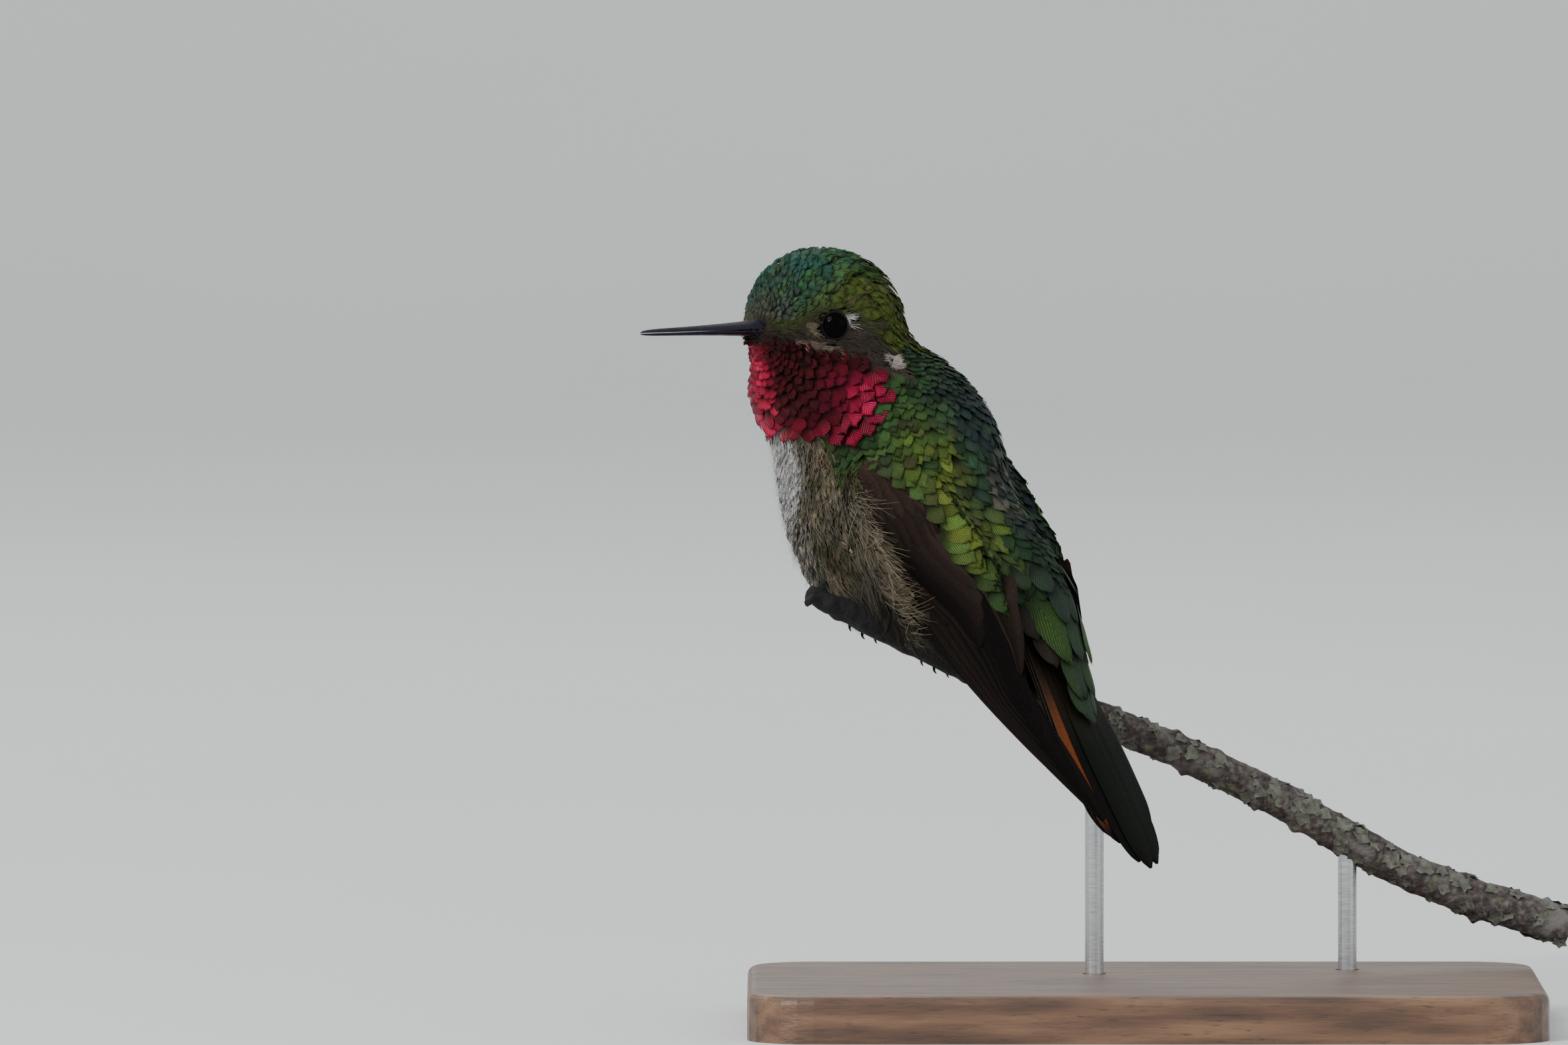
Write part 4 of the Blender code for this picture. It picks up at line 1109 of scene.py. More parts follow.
    def make_flank(self):
        """Loose hair-like barbs that stray over the front edge of each wing."""
        chosen = np.zeros(len(self.places), bool)
        for name, wing in WINGS.items():
            down, before = wing_place(self.places, name)
            edge = before - line_at(FLANK_EDGE, down)
            beside = self.left * wing["side"] > BESIDE
            chosen |= between(edge, *FLANK_STRIP) & between(down, *FLANK_REACH) & beside
        roots, at = self.region(chosen, 0.85)
        tints = blend(BUFF * 1.1, GREY, 0.5 + 0.5 * wobble(self.places[at], 1.5))
        tufts("coat_flank", self.cover, roots, (4.6, 2.6), COAT["flank"], self.soft, tints, seed=SEED + 3)

    def make_tail_coverts(self):
        """Long feathers over the root of the tail, and loose pale ones under it."""
        base, run, dorsal, _ = tail_ways()
        rows = [(number, side, *feather) for number, row in enumerate(TAIL_COVERTS) for feather in row
                for side in ((1.0, -1.0) if feather[1] else (1.0,))]
        number, side, down, aside, length, width, green, brown, turn = np.array(rows).T
        starts = base + run * down[:, None] + LEFT * (side * aside)[:, None] + 3.0 * dorsal
        look = {**COAT["tail_over"], "rise": 0.18 + 0.10 * number, "lean": side * turn}
        tints = blend(SLATE * 0.8, GREEN * colour(1.7, 1.25, 0.9), green)
        vanes("coat_tail_over", self.cover, self.cover.nearest(starts), (length, width), look,
              self.shiny["back"], blend(tints, DUSKY * 0.45, brown))
        rng = np.random.default_rng(SEED)
        starts = [base + run * t + LEFT * rng.uniform(-4.0, 4.0) - 3.0 * dorsal
                  for t in rng.uniform(-4.0, 4.5, 150)]
        places, outward = self.cover.nearest(np.array(starts))
        below = (outward @ dorsal < -0.5) & (np.abs(body_parts(places)[1]) < 4.0)
        tints = blend(BUFF * 1.1, GREEN * 0.8, rng.uniform(0.0, 0.7, int(below.sum())))
        tufts("coat_tail_under", self.cover, (places[below], outward[below]), (5.5, 2.8), COAT["tail_under"],
              self.soft, tints)


# ---- flight feathers ----
def wing_edges(along, length):
    """Front and rear reach of the folded blade at a distance from the wrist."""
    share = np.clip(along / length, 0.0, 1.0)
    shoulder = np.sqrt(np.clip(1.0 - (1.0 - np.clip(along / 8.0, 0.0, 1.0)) ** 2, 0.0, 1.0))
    narrowing = np.clip((along - 18.0) / (length - 18.0), 0.0, 1.0) ** 1.3
    front = WING_FRONT * shoulder * (1.0 - narrowing)
    point = WING_POINT_BACK * np.sqrt(np.clip(1.0 - share**6, 0.0, 1.0))
    rear = mix(WING_BACK * shoulder, point, smoothstep(*WING_HAND, along))
    return front, -rear


TUCKED = 0.44  # share of the hand's rear half that shows beside the tail
UNDER_SHOULDER = 1.4  # how far the folded wing's feathers run in under the shoulder's


OUTSIDE = 30.0  # from the middle plane out to where nothing is


class WingSheet:
    """The outer side of a folded wing, as places from distance down it and share from front to rear edge."""

    ROWS, COLUMNS = 48, 9
    END, EDGE = 0.02, 0.08  # shares left out at the ends and at the edges
    NEAR = 0.8  # where the cover is this near the wing's own side, the feathers lie on the cover

    def __init__(self, name, cover):
        wing = WINGS[name]
        self.side = wing["side"]
        self.wrist, tip = np.array(wing["wrist"]), np.array(wing["tip"])
        self.length = np.linalg.norm(tip - self.wrist)
        self.run = (tip - self.wrist) / self.length
        self.ahead = np.array((-self.run[1], self.run[0]))
        solid = Surface(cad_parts[name].data)
        along = self.length * np.linspace(self.END, 1.0 - self.END, self.ROWS)[:, None]
        share = np.linspace(self.EDGE, 1.0 - self.EDGE, self.COLUMNS)[None]
        starts = self.flat(along, share)
        away = self.side * LEFT
        out = np.full(starts.shape[:2], np.nan)
        for i in range(self.ROWS):
            for j in range(self.COLUMNS):
                ray = Vector(starts[i, j] + OUTSIDE * away), Vector(-away)
                hit, over = solid.tree.ray_cast(*ray)[0], cover.tree.ray_cast(*ray)[0]
                if hit is not None:
                    own = (np.array(hit) - starts[i, j]) @ away
                    laid = (np.array(over) - starts[i, j]) @ away if over is not None else 0.0
                    out[i, j] = laid if abs(laid - own) < self.NEAR else own
        for i in range(self.ROWS):
            known = ~np.isnan(out[i])
            out[i] = np.interp(np.arange(self.COLUMNS), np.flatnonzero(known), out[i, known])
        for _ in range(3):
            out[1:-1] = (out[:-2] + 2 * out[1:-1] + out[2:]) / 4
            out[:, 1:-1] = (out[:, :-2] + 2 * out[:, 1:-1] + out[:, 2:]) / 4
        self.out = out

    def across(self, along, share):
        front, rear = wing_edges(along, self.length)
        rear = rear * mix(1.0, TUCKED, smoothstep(24.5, 30.5, along))
        return mix(front, np.maximum(rear, line_at(SHOULDER_EDGE, along) - UNDER_SHOULDER), share)

    def flat(self, along, share):
        """Places in the body's middle plane."""
        across = self.across(along, share)
        flat = self.wrist + along[..., None] * self.run + across[..., None] * self.ahead
        return np.array(BODY_CENTRE) + flat[..., :1] * FORWARD + flat[..., 1:] * UP

    def at(self, along, share, lift):
        """Places this far outside the folded wing."""
        row = np.clip((along / self.length - self.END) / (1.0 - 2 * self.END), 0.0, 1.0) * (self.ROWS - 1)
        column = np.clip((share - self.EDGE) / (1.0 - 2 * self.EDGE), 0.0, 1.0) * (self.COLUMNS - 1)
        i, j = np.minimum(row.astype(int), self.ROWS - 2), np.minimum(column.astype(int), self.COLUMNS - 2)
        p, q = row - i, column - j
        near_edge = mix(self.out[i, j], self.out[i, j + 1], q)
        far_edge = mix(self.out[i + 1, j], self.out[i + 1, j + 1], q)
        hidden = smoothstep(-0.2, 1.3, line_at(SHOULDER_EDGE, along) - self.across(along, share))
        out = mix(near_edge, far_edge, p) + lift - 0.35 * smoothstep(0.6, 1.0, share) - 0.8 * hidden
        return self.flat(along, share) + self.side * out[..., None] * LEFT


def blade(place, rows, columns, thickness, paint):
    """One flight feather: a thin vane with a raised shaft. place and paint take shares along and across."""
    s, x = np.meshgrid(np.linspace(0.0, 1.0, rows + 1), np.linspace(-1.0, 1.0, columns + 1), indexing="ij")
    body = thickness * (1.0 - 0.85 * x**2)
    shaft = 0.07 * np.exp(-(((x + 0.35) / 0.10) ** 2)) * (1.0 - 0.8 * s)
    upper, lower = place(s, x, body / 2 + shaft), place(s, x, -body / 2)
    points = np.concatenate((upper.reshape(-1, 3), lower.reshape(-1, 3)))
    faces = grid_faces(rows, columns)
    faces = np.concatenate((faces, faces[:, ::-1] + (rows + 1) * (columns + 1)))
    tint = paint(s, x).reshape(-1, 3)
    vane = np.stack(((x * 0.5 + 0.5).ravel(), s.ravel()), axis=1)
    return points, faces, np.concatenate((tint, tint)), np.concatenate((vane, vane))


def pile(name, parts, finish, replaced=()):
    """Join blades into one piece; each has its own strip of the bake map."""
    points, faces, tints, vane_map, bake = [], [], [], [], []
    start = 0
    for number, (p, q, c, v) in enumerate(parts):
        points.append(p)
        faces.append(q + start)
        tints.append(c)
        vane_map.append(v)
        bake.append(np.stack(((number + 0.05 + 0.9 * v[:, 0]) / len(parts), 0.01 + 0.98 * v[:, 1]), axis=1))
        start += len(p)
    return make_piece(name, np.concatenate(points), np.concatenate(faces), finish,
                      np.concatenate(tints), np.concatenate(vane_map), np.concatenate(bake), replaced)


PRIMARIES, SECONDARIES, TERTIALS, COVERTS = 10, 6, 3, 9
COVERT_ROWS = ((11.0, -0.14, 0.26), (7.5, -0.08, 0.24), (4.8, -0.03, 0.24))  # reach, level, width's share


def make_wing(name, cover, finish):
    """Primaries, secondaries and coverts of a folded wing, each over the one in front of it."""
    sheet = WingSheet(name, cover)
    rng = np.random.default_rng(SEED + int(sheet.side))
    parts = []

    def feather(start, end, first, last, wide, level, tip, tint, rows=26, limit=1.0):
        """first and last are the front edge's shares at the start and at the end."""
        def place(s, x, raised):
            along = start + s * (end - start)
            near_tip = np.sqrt(np.clip(1.0 - np.clip((s - tip) / (1.0 - tip), 0.0, 1.0) ** 2, 0.0, 1.0))
            front = mix(first, last, smoothstep(0.0, 0.8, s))
            reach = np.minimum(front + wide, limit) - front
            share = front + reach * (0.35 + (x * 0.5 + 0.15) * mix(0.12, 1.0, near_tip))
            return sheet.at(along, share, level + raised + 0.06 * np.sin(np.clip(s, 0, 1) * 3.0) * (1 - x**2))

        def paint(s, x):
            # Painted shade along and across the feather, darkest just behind its front edge; dark is a painted
            # shadow where the next feather's edge lies over it; rim is a pale front edge, partly the feather's
            # own pale edge and partly a painted highlight.
            shade = 1.0 + 0.30 * fade(0.0, 0.5, s) - 0.25 * smoothstep(-0.95, -0.6, x) * fade(-0.6, 0.4, x)
            rim = np.exp(-(((x + 0.95) / 0.10) ** 2))[..., None]
            dark = np.exp(-(((x + 0.70) / 0.14) ** 2))[..., None]
            return tint * (shade[..., None] - 0.45 * dark) + (0.6 * tint + 0.16 * WING_PALE) * rim

        return blade(place, rows, 14, 0.14, paint)

    for i in range(PRIMARIES):
        share = i / PRIMARIES
        end = sheet.length * (1.0 - 0.005 - 0.052 * max(i - 1, 0) - (0.012 if i == 0 else 0.0))
        tint = WING_BROWN * rng.uniform(0.8, 1.2)
        parts.append(feather(3.0 + 0.6 * i, end, 0.05 + 0.075 * i, 0.02 + 0.085 * i, 0.75 - 0.35 * share,
                             -0.62 + 0.05 * i, 0.72, tint, 34))
    for i in range(SECONDARIES):
        end = 23.0 - 1.7 * i
        tint = mix(WING_BROWN, WING_PALE, 0.04 + 0.09 * i) * rng.uniform(0.85, 1.15)
        parts.append(feather(2.0, end, 0.18 + 0.10 * i, 0.34 + 0.085 * i, 0.42, -0.24 + 0.03 * i, 0.60, tint))
    for row, (reach, level, wide) in enumerate(COVERT_ROWS):
        for i in range(COVERTS):
            share = i / (COVERTS - 1)
            end = reach * mix(0.80, 1.10, share)
            pale = (0.25 + 0.20 * row) * mix(0.5, 1.3, share)
            tint = mix(WING_BROWN, WING_PALE, pale) * rng.uniform(0.85, 1.15)
            parts.append(feather(0.4, end, share * 0.86 - 0.02, share * 0.84, wide, level + 0.01 * i, 0.45,
                                 tint, 12))
    for i in range(TERTIALS):
        tint = mix(WING_BROWN, WING_PALE, 0.16 + 0.10 * i) * rng.uniform(0.9, 1.1)
        parts.append(feather(18.0 + 0.5 * i, 28.0 - 1.6 * i, 0.78 + 0.05 * i, 0.86 + 0.05 * i, 0.26,
                             0.0, 0.55, tint, limit=1.10))

    def lining(s, x, raised):
        along = 0.6 + s * (sheet.length - 1.6)
        thick = mix(*WING_THICKNESS, smoothstep(0.0, 30.0, along)) * (1.0 - 0.6 * x**2)
        return sheet.at(along, 0.5 + 0.47 * x, raised - np.maximum(0.85 * thick, 0.62))

    parts.append(blade(lining, 40, 12, 0.2, lambda s, x: WING_BROWN * 1.6 * np.ones(s.shape + (1,))))
    pile(name + "_feathers", parts, finish, replaced=(name,))


TAIL_RANKS = (0.96, 0.92, 0.85, 0.50, 0.20)  # middles of one side's feathers, from the edge of the fan
TAIL_DROOP, TAIL_ROLL = 0.009, 0.105  # the fan's arch, and its left side turned down
CLOSED_RANK = 0.45  # the right side's third feather, shut under the fourth
VANE_HALF_WIDTH = 2.3


def make_tail(finish):
    """Ten tail feathers, the middle pair on top and the outer ones close together under it."""
    base, run, dorsal, length = tail_ways()

    def rectrix(rank, side):
        offset, level = TAIL_RANKS[rank], -0.42 + 0.19 * rank + 0.03 * side
        if side < 0.0 and rank == 2:
            offset = CLOSED_RANK
        middle = side * offset * (TAIL_HALF_WIDTH + 0.4 - VANE_HALF_WIDTH) / TAIL_RANKS[0]
        end = length * (1.0 - TAIL_ROUNDING * offset**2.2 - 0.012 * (side < 0.0))
        start = 1.0

        def place(s, x, raised):
            travelled = start + s * (end - start)
            opened = smoothstep(0.0, 16.0, travelled)
            wide = VANE_HALF_WIDTH * mix(0.9, 1.0, opened) * mix(1.0, 0.86, smoothstep(0.5, 1.0, s))
            tip_width = np.clip(1.0 - np.clip((s - 0.86) / 0.14, 0.0, 1.0) ** 1.7, 0.0, 1.0) ** 0.7
            across = middle * mix(0.8, 1.0, opened) + x * wide * mix(0.12, 1.0, tip_width)
            turned = TAIL_ROLL * across * smoothstep(2.0, 20.0, travelled)
            over = level + raised - TAIL_DROOP * across**2 - turned - 0.06 * x**2
            return base + run * travelled[..., None] + LEFT * across[..., None] + dorsal * over[..., None]

        def paint(s, x):
            lateral = x * side
            tint = (TAIL_BLACK if rank < 4 else mix(TAIL_BLACK, GREEN, 0.04)) * np.ones(s.shape + (1,))
            if rank == 2:
                rufous = smoothstep(0.22, 0.32, lateral) * smoothstep(0.22, 0.40, s) * fade(0.86, 0.96, s)
                tint = mix(tint, RUFOUS, rufous[..., None])
            if rank < 3:
                tint = mix(tint, BUFF * 0.5, 0.45 * smoothstep(0.93, 0.98, lateral)[..., None])
            tint = mix(tint, DUSKY * 0.5, (0.7 if rank < 3 else 0.5) * fade(0.30, 0.55, s)[..., None])
            tint = mix(tint, WING_BROWN, 0.6 * smoothstep(0.8, 1.0, s)[..., None])
            return tint * (1.0 + 0.15 * np.cos(x * 3.0))[..., None]

        return blade(place, 40, 12, 0.14, paint)

    parts = [rectrix(rank, side) for rank in range(len(TAIL_RANKS)) for side in (-1.0, 1.0)]
    pile("tail_feathers", parts, finish, replaced=("tail",))


# ---- eyes and bill ----
# The lid's section: out from the middle of the eye, and above the ball
LID_SECTION = ((1.30, -0.10), (1.32, -0.01), (1.36, 0.04), (1.43, 0.05), (1.50, 0.0), (1.56, -0.12),
               (1.65, -0.26), (1.80, -0.32), (1.98, -0.40), (2.12, -0.75))
CORNEA = 0.06  # its rise
LID_BLACK = colour(0.003, 0.0025, 0.0022)


def capped(rings, first=None, last=None):
    """Rings with one more at each end, drawn in to a point: the end ring's middle, if none is given."""
    rings = np.asarray(rings)
    ends = [ring.mean(axis=0) if end is None else end for ring, end in ((rings[0], first), (rings[-1], last))]
    first, last = (np.repeat(end[None, None], rings.shape[1], 1) for end in ends)
    return np.concatenate((first, rings, last))


def loft(name, rings, finish, replaced=(), first=None, last=None):
    """Piece through closed rings of points; each end closes on a point."""
    rings = capped(rings, first, last)
    return make_piece(name, rings, tube_faces(*rings.shape[:2]), finish, replaced=replaced)


def make_eye(node, side, wet, lid):
    """Round eye with a raised cornea, in a ring of bare lid that slopes down to the feathers."""
    centre, out = eye_centre(node), gaze(side)
    across, over = (ways[0] for ways in frames(out[None], UP))
    around = spokes(across, over, full_turn(64))
    rings = []
    for angle in np.linspace(0.03, math.pi - 0.03, 60):
        cornea = CORNEA * fade(0.0, 0.9, angle)
        radius = EYE_RADIUS - CORNEA + cornea - 0.5 * smoothstep(0.76, 1.05, angle)
        rings.append(centre + radius * (math.sin(angle) * around + math.cos(angle) * out))
    loft(node + "_ball", rings, wet, (node,), centre + EYE_RADIUS * out, centre - EYE_RADIUS * out)
    rim = []
    for turn in np.linspace(0.0, 2 * math.pi, 97):
        ray = across * math.cos(turn) + over * math.sin(turn)
        wide = 1.0 + 0.04 * math.cos(2 * turn) + 0.012 * math.sin(24 * turn)
        section = []
        for reach, height in LID_SECTION:
            level = math.sqrt(max(EYE_RADIUS**2 - (reach * wide) ** 2, 0.0))
            section.append(centre + ray * reach * wide + out * (level + height))
        rim.append(section)
    rim = np.array(rim)
    bare = np.tile(fade(1.50, 1.60, np.array([reach for reach, _ in LID_SECTION])), len(rim))
    tints = blend(face_colours(rim.reshape(-1, 3)) * 0.6, LID_BLACK, bare)
    make_piece(node + "_lid", rim, grid_faces(96, len(LID_SECTION) - 1), lid, tints)


def bill_rings(upper, count=70, sides=24):
    """Rings of one mandible, from its root in the head out to the tip."""
    sign, part = (1.0, BILL_UPPER_SHARE) if upper else (-1.0, 1.0 - BILL_UPPER_SHARE)
    turns = np.linspace(0.0, math.pi, sides)
    rings = []
    for share in np.linspace(0.0, 1.0, count):
        forward = mix(BILL_ROOT, BILL_TIP, share)
        taper = smoothstep(MUZZLE_REACH, BILL_TIP, forward) ** BILL_TAPER
        point = math.sqrt(max(1.0 - share**14, 0.004))
        half = mix(*BILL_HALF_WIDTH, taper) * point
        depth = mix(*BILL_DEPTH, taper) * point * part
        ridge = 1.0 + (0.10 * np.exp(-(((turns - math.pi / 2) / 0.25) ** 2)) if upper else 0.0)
        rise = sign * (BILL_SEAM / 2 + depth * np.sin(turns) ** 0.85 * ridge) - BILL_DROP
        rings.append([head_point(forward, half * math.cos(t), up) for t, up in zip(turns, rise)])
    return rings


# ---- perch and feet ----
TWIG_LINE, TWIG_WAYS, TWIG_LENGTH = smooth_curve(TWIG_ROUTE, 401)


def twig_radius(share):
    return mix(*TWIG_RADIUS, np.asarray(share) ** 0.7)


def twig_at(distance):
    index = int(round(distance / TWIG_LENGTH * (len(TWIG_LINE) - 1)))
    return TWIG_LINE[index], TWIG_WAYS[index], twig_radius(distance / TWIG_LENGTH)


STUBS = (  # from the twig's thin end, turn round it, length, thickness
    (0.8, 2.2, 2.6, 0.45), (1.4, 0.6, 1.7, 0.40),
    (30.0, 1.2, 1.3, 0.7), (58.0, 2.6, 1.6, 0.8), (71.0, 0.9, 1.1, 0.7),
)
FLAKES = 150


def make_twig(finish, lichen):
    """Rough bark with nodules, a few stubs and flakes of lichen."""
    rng = np.random.default_rng(SEED)
    rings, sides = 340, 48
    places, ways, length = smooth_curve(TWIG_ROUTE, rings)
    across, over = frames(ways, UP)
    turns = full_turn(sides)
    around = spokes(across, over, turns)
    radius = np.broadcast_to(twig_radius(np.linspace(0.0, 1.0, rings))[:, None], (rings, sides)).copy()
    radius *= mix(0.72, 1.0, smoothstep(0.0, 9.0, np.linspace(0.0, length, rings)))[:, None]
    points = places[:, None] + around * radius[..., None]
    flat = points.reshape(-1, 3)
    rough = 0.20 * wobble(flat, 2.4, 1.0) + 0.12 * wobble(flat, 1.0, 4.0) + 0.05 * wobble(flat, 0.4, 8.0)
    away = np.linspace(0.0, length, rings)
    gripped = np.ones(rings)
    for distance in LEGS.values():
        gripped *= 1.0 - 0.75 * np.exp(-(((away - distance) / 3.2) ** 2))
    radius += rough.reshape(rings, sides) * gripped[:, None]
    for _ in range(70):
        index, turn = rng.integers(0, rings), rng.uniform(0.0, 2 * math.pi)
        size, high = rng.uniform(0.35, 0.9), rng.uniform(0.15, 0.5)
        apart = np.angle(np.exp(1j * (turns - turn)))[None] * radius[index].mean()
        run = (away - away[index])[:, None]
        radius += high * gripped[index] * np.exp(-(run**2 + apart**2) / size**2)
    points = places[:, None] + around * radius[..., None]
    cut = ways[-1] * 0.15
    loft("perch_bark", points, finish, ("perch_twig",), places[0] - ways[0] * 0.5, places[-1] + cut)

    stubs, corners = [], turns[::4]
    for distance, turn, long, thick in STUBS:
        index = int(distance / length * (rings - 1))
        ray = across[index] * math.cos(turn) + over[index] * math.sin(turn)
        lean = normalised(ray * 0.8 - ways[index] * 0.6)
        root = places[index] + ray * radius[index].mean() * 0.5
        side, top = (ways[0] for ways in frames(lean[None], UP))
        around = spokes(side, top, corners)
        for share in np.linspace(0.0, 1.0, 10):
            wide = thick * (1.25 - 0.5 * share) * (1.0 + 0.12 * np.sin(3 * corners + 5 * share))
            middle = root + lean * long * share + 0.12 * side * math.sin(3 * share)
            stubs.append(middle + around * wide[:, None])
    stubs = np.array(stubs).reshape(len(STUBS), 10, 12, 3)
    ends = stubs[:, -1:].mean(axis=2, keepdims=True).repeat(12, 2)
    stubs = np.concatenate((stubs, ends), axis=1)
    make_piece("perch_stubs", stubs, copies(tube_faces(11, 12), len(STUBS), 11 * 12), finish)

    flakes = []
    for _ in range(FLAKES):
        index, turn = int(rings * rng.uniform(0.25, 1.0) ** 0.8) - 1, rng.normal(1.6, 1.3)
        ray = across[index] * math.cos(turn) + over[index] * math.sin(turn)
        side = np.cross(ways[index], ray)
        thick = radius[index].mean()
        root = places[index] + ray * (thick + 0.02)
        size = rng.uniform(0.35, 0.95)
        angles = np.linspace(0.0, 2 * math.pi, 11)
        ruffle = 1.0 + 0.25 * np.sin(angles * rng.integers(3, 6) + turn) + 0.12 * np.sin(angles * 9)
        for share in (0.02, 0.45, 0.8, 1.0):
            out = size * share * ruffle
            curl = 0.30 * size * share**2 * (1.0 + 0.5 * np.sin(angles * 4 + turn)) - out**2 / (2 * thick)
            flakes.append(root + spokes(ways[index], side, angles) * out[:, None] + curl[:, None] * ray)
    make_piece("perch_lichen", flakes, copies(grid_faces(3, 10), FLAKES, 4 * 11), lichen)


def make_foot(name, distance, finish):
    """Scaled toes that curl round the twig, each with its claw."""
    centre, direction, radius = twig_at(distance)
    top = normalised(UP - direction * (UP @ direction))
    front = np.cross(direction, top)
    front *= math.copysign(1.0, front @ FORWARD)
    parts, sides, rings = [], 14, 44
    for splay, turn in TOES:
        bend = turn * TOE_TURN
        whole = bend + math.copysign(CLAW_TURN, turn)
        joint = bend / whole
        points, radii = [], []
        for share in np.linspace(0.0, 1.0, rings):
            angle = math.radians(whole * share - math.copysign(8.0, turn))
            claw = max(share - joint, 0.0) / (1.0 - joint)
            lift = KNUCKLE_RISE * math.sin(share * math.pi * 3.0) ** 2 + CLAW_ARCH * math.sin(claw * math.pi)
            out = (math.cos(angle) * top + math.sin(angle) * front) * (radius + GAP + TOE_RADIUS + lift)
            points.append(centre + out + direction * splay * min(share / joint, 1.0) ** 0.7)
            scutes = 1.0 + 0.07 * math.sin(share * 60.0) * (claw <= 0.0)
            radii.append(mix(TOE_RADIUS * mix(1.2, 1.0, share), CLAW_POINT * 0.5, claw**0.8) * scutes)
        points = np.array(points)
        across, over = frames(normalised(np.gradient(points, axis=0)), direction)
        around = spokes(across, over, full_turn(sides))
        parts.append(capped(points[:, None] + around * np.array(radii)[:, None, None]))
    faces = copies(tube_faces(rings + 2, sides), len(parts), (rings + 2) * sides)
    make_piece(name + "_toes", parts, faces, finish, replaced=(name,))


# ---- finishes of the made and the hard parts ----
def horn(name, tint, roughness, size, gloss):
    nodes = Nodes(name)
    grain = nodes.noise(size, 4.0)
    dark, light = (tuple(v * k for v in tint) for k in (0.6, 1.6))
    nodes.feed(nodes.ramp(grain, ((0.3, dark), (0.75, light))), "Base Color")
    nodes.feed(nodes.math("MULTIPLY_ADD", grain, 0.25, roughness), "Roughness")
    nodes.bump(grain, size * 0.12)
    return nodes.set(Specular_IOR_Level=gloss, Coat_Weight=0.0, Coat_Roughness=0.15)


def wet_eye():
    nodes = Nodes("wet_eye")
    iris = nodes.ramp(nodes.noise(0.6), ((0.3, (0.0004, 0.0003, 0.0003)), (0.8, (0.0016, 0.0011, 0.0009))))
    nodes.feed(iris, "Base Color")
    return nodes.set(Roughness=0.04, IOR=1.33, Specular_IOR_Level=0.06)


DARK_AND_SHADED_BARK = 30.0  # reach of the darkened bark, partly darker bark and partly painted shadow under the bird, from the middle of the model to the twig's thin end


def bark():
    nodes = Nodes("bark")
    broad, fine = nodes.noise(3.5, 4.0), nodes.noise(0.7, 6.0)
    stops = ((0.28, (0.014, 0.010, 0.009)), (0.5, (0.050, 0.038, 0.035)), (0.72, (0.13, 0.105, 0.098)))
    tint = nodes.ramp(fine, stops)
    patches = nodes.ramp(broad, ((0.52, 0.0), (0.66, 1.0)))
    tint = nodes.mixed(patches, tint, (0.12, 0.108, 0.100))
    green = nodes.ramp(nodes.noise(2.0, 3.0), ((0.60, 0.0), (0.72, 0.6)))
    tint = nodes.mixed(green, tint, (0.15, 0.18, 0.09))
    # Darker towards the twig's thin end, under the bird: partly darker bark, partly painted shadow.
    split = nodes.add("ShaderNodeSeparateXYZ")
    nodes.link(nodes.place(), split.inputs[0])
    from_end = nodes.math("MULTIPLY_ADD", split.outputs[0], 1.0 / MM / DARK_AND_SHADED_BARK, 1.0)
    shade = nodes.ramp(from_end, ((0.15, 0.06), (0.55, 0.18), (1.0, 1.0)))
    tint = nodes.mixed(1.0, tint, shade, "MULTIPLY")
    nodes.feed(tint, "Base Color")
    crack = nodes.add("ShaderNodeTexVoronoi", feature="DISTANCE_TO_EDGE", Scale=1.0 / (1.1 * MM))
    nodes.link(nodes.place(), crack.inputs["Vector"])
    nodes.bump(nodes.math("ADD", nodes.math("MINIMUM", crack.outputs["Distance"], 0.25), fine), 0.25)
    return nodes.set(Roughness=0.93)


def lichen():
    nodes = Nodes("lichen")
    tint = nodes.ramp(nodes.noise(0.9, 5.0), ((0.3, (0.05, 0.05, 0.04)), (0.7, (0.15, 0.15, 0.12))))
    nodes.feed(tint, "Base Color")
    nodes.bump(nodes.noise(0.2, 3.0), 0.08)
    return nodes.set(Roughness=0.95)


def wood():
    nodes = Nodes("base_wood")
    place = nodes.stretched(1.0, 9.0, 9.0)
    grain, pores = nodes.noise(16.0, 6.0, place), nodes.noise(2.2, 4.0, place)
    stops = ((0.3, (0.045, 0.020, 0.011)), (0.5, (0.115, 0.055, 0.028)), (0.7, (0.19, 0.10, 0.052)))
    tint = nodes.ramp(grain, stops)
    tint = nodes.mixed(nodes.ramp(pores, ((0.28, 0.7), (0.42, 0.0))), tint, (0.03, 0.014, 0.008))
    nodes.feed(tint, "Base Color")
    nodes.feed(nodes.math("MULTIPLY_ADD", pores, -0.25, 0.55), "Roughness")
    nodes.bump(pores, 0.08)
    return nodes.set(Coat_Weight=0.15, Coat_Roughness=0.35)


def steel():
    nodes = Nodes("rod_steel")
    lines = nodes.noise(1.2, 3.0, nodes.stretched(1.0, 1.0, 14.0))
    nodes.feed(nodes.ramp(lines, ((0.3, (0.36, 0.36, 0.37)), (0.7, (0.58, 0.58, 0.58)))), "Base Color")
    nodes.feed(nodes.math("MULTIPLY_ADD", lines, 0.2, 0.24), "Roughness")
    nodes.bump(lines, 0.01)
    return nodes.set(Metallic=1.0)


# ---- studio ----
VIEW_CENTRE = (-38.134, 0.0, 53.29)
VIEW_DISTANCE = 2000.0
VIEW_DOWN = 2.5
VIEW_WIDTH = 165.70  # across the frame, at the bird
SENSOR = 36.0


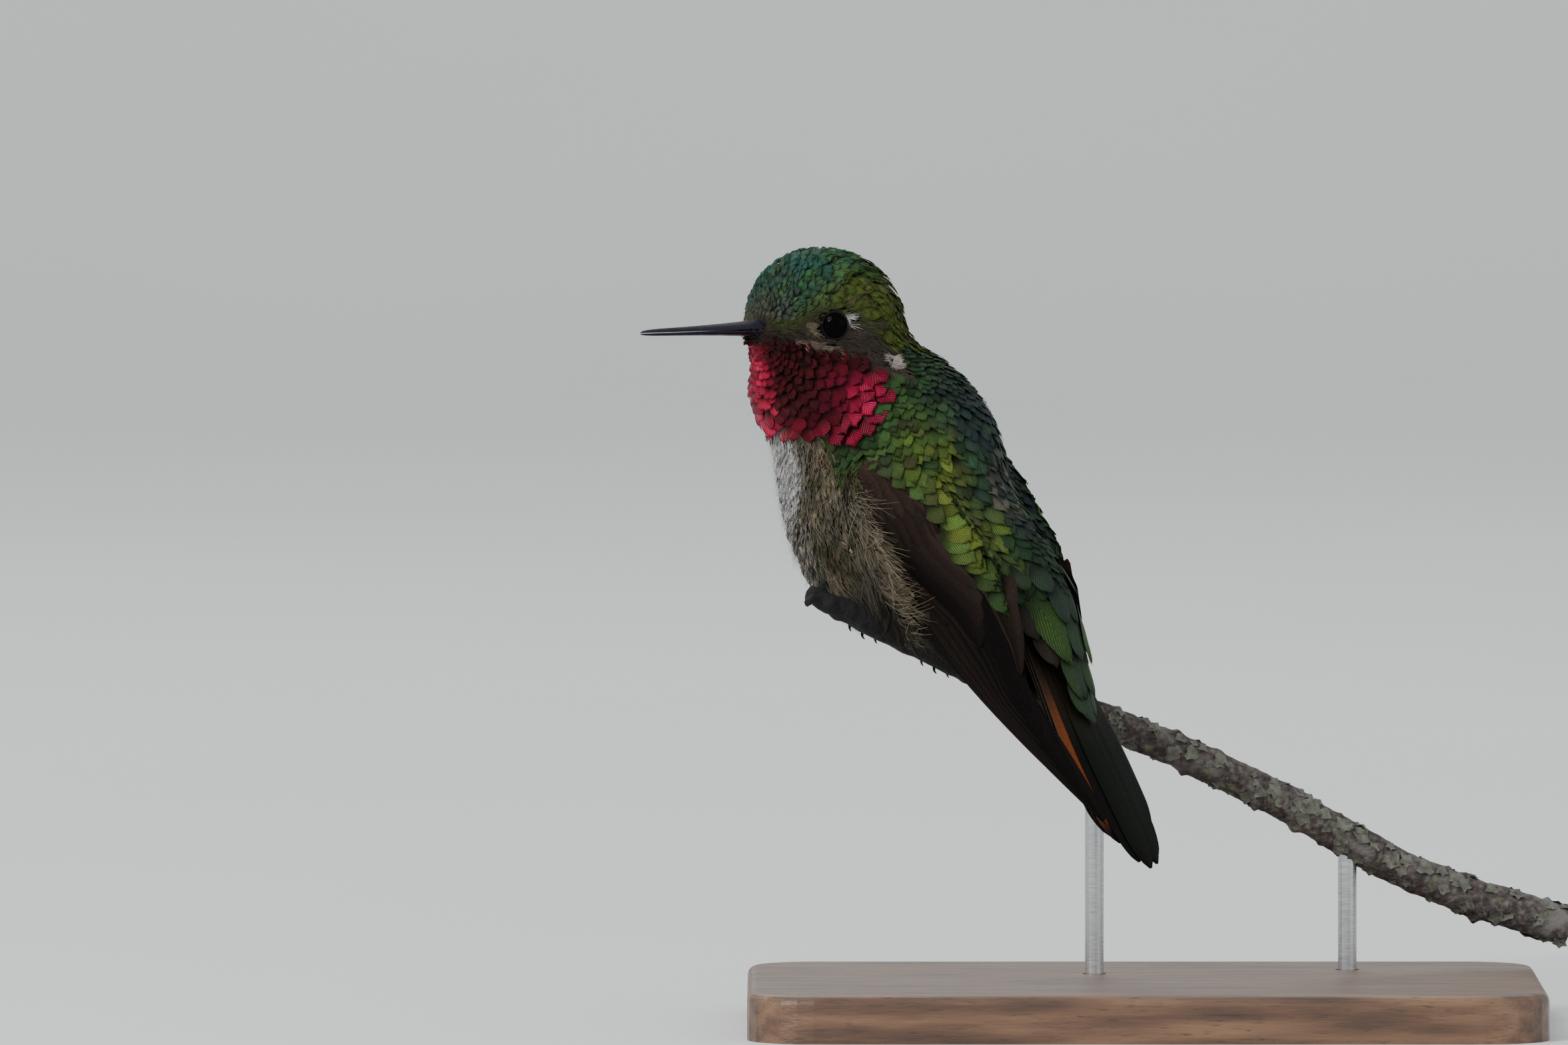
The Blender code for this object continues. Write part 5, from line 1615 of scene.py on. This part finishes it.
def make_camera():
    down = math.radians(VIEW_DOWN)
    away = np.array((0.0, -math.cos(down), math.sin(down)))
    data = bpy.data.cameras.new("camera")
    data.sensor_width = SENSOR
    data.lens = SENSOR * VIEW_DISTANCE / VIEW_WIDTH
    data.clip_end = 40.0
    camera = placed("camera", data)
    camera.location = (np.array(VIEW_CENTRE) + VIEW_DISTANCE * away) * MM
    camera.rotation_euler = (math.pi / 2 - down, 0.0, 0.0)
    bpy.context.scene.camera = camera


LIGHTS = (  # name, place, size and power
    ("key", (-0.75, -0.85, 0.95), 0.7, 11.0),
    ("fill", (1.1, -1.0, 0.5), 1.0, 2.0),
    ("rim", (-0.3, 0.9, 0.9), 0.7, 3.0),
    ("glint", (-0.95, -1.1, 0.75), 0.10, 6.0),
)
SKY = (0.86, 0.90, 0.92, 1.0)
SKY_STRENGTH = 1.1
FLOOR_FRONT, FLOOR_BEND, FLOOR_TOP, FLOOR_HALF_WIDTH = -6.0, 1.6, 5.0, 7.0  # in metres
FLOOR_CURVE = 1.2  # radius of its rise behind


def make_studio():
    """Pale floor that curves up behind, a few soft lights and an even sky."""
    profile = [(FLOOR_FRONT, 0.0), (FLOOR_BEND, 0.0)]
    for turn in np.linspace(0.0, math.pi / 2, 24)[1:]:
        profile.append((FLOOR_BEND + FLOOR_CURVE * math.sin(turn), FLOOR_CURVE * (1.0 - math.cos(turn))))
    profile.append((FLOOR_BEND + FLOOR_CURVE, FLOOR_TOP))
    mesh = bpy.data.meshes.new("floor")
    vertices = [(x, y, z) for y, z in profile for x in (-FLOOR_HALF_WIDTH, FLOOR_HALF_WIDTH)]
    mesh.from_pydata(vertices, [], grid_faces(len(profile) - 1, 1).tolist())
    mesh.shade_smooth()
    floor = placed("floor", mesh)
    nodes = Nodes("floor")
    tint = nodes.ramp(nodes.noise(400.0), ((0.3, (0.66, 0.67, 0.66)), (0.7, (0.70, 0.71, 0.70))))
    nodes.feed(tint, "Base Color")
    mesh.materials.append(nodes.set(Roughness=0.85))
    floor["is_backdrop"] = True
    for name, place, size, power in LIGHTS:
        data = bpy.data.lights.new(name, "AREA")
        data.shape, data.size, data.energy = "DISK", size, power
        light = placed(name, data)
        light.location = place
        aim = Vector(VIEW_CENTRE) * MM - light.location
        light.rotation_euler = aim.to_track_quat("-Z", "Y").to_euler()
    world = bpy.data.worlds.new("world")
    world.use_nodes = True
    background = world.node_tree.nodes["Background"].inputs
    background["Color"].default_value = SKY
    background["Strength"].default_value = SKY_STRENGTH
    bpy.context.scene.world = world


def main():
    make_camera()
    make_studio()
    soft = down("soft_down")
    shiny = {
        "cap": plumage("cap_plumage", 0.20, 0.62, 6.0, lines=0.35, raised=0.03, gloss=0.1),
        "gorget": plumage("gorget_plumage", 0.40, 0.45, 8.0, lines=0.35, raised=0.03, gloss=0.15),
        "pale": plumage("pale_plumage", 0.0, 0.80, 9.0, slant=1.4, lines=0.35, raised=0.04, gloss=0.1),
        "back": plumage("back_plumage", 0.25, 0.55, 12.0, lines=0.85, raised=0.06, gloss=0.15),
    }
    flight = plumage("flight_plumage", 0.0, 0.55, 90.0, slant=0.10, lines=0.35, raised=0.02, gloss=0.05)
    make_skin(soft)
    cover = Surface(fused(COVERED, GROOVE_FILL, 14))
    Coat(cover, shiny, soft).make()
    for name in WINGS:
        make_wing(name, cover, flight)
    make_tail(flight)
    lid, wet = down("lid_skin", 0.75, 0.0), wet_eye()
    for node, side in EYES.items():
        make_eye(node, side, wet, lid)
    bill = horn("bill_horn", (0.0060, 0.0030, 0.0110), 0.26, 1.2, 0.22)
    for node, upper in (("bill_upper", True), ("bill_lower", False)):
        loft(node + "_horn", bill_rings(upper), bill, (node,))
    scaly = horn("claw_horn", (0.008, 0.006, 0.0055), 0.6, 0.3, 0.2)
    for side, distance in LEGS.items():
        make_foot("foot_" + side, distance, scaly)
    make_twig(bark(), lichen())
    for node, finish in (("stand_base", wood()), ("stand_rod_1", steel()), ("stand_rod_2", steel())):
        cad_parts[node].data.materials.clear()
        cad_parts[node].data.materials.append(finish)


main()
boxes = {"cad": CAD_BOX, "visual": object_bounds()}
{name: [[float(v) for v in corner] for corner in box] for name, box in boxes.items()}
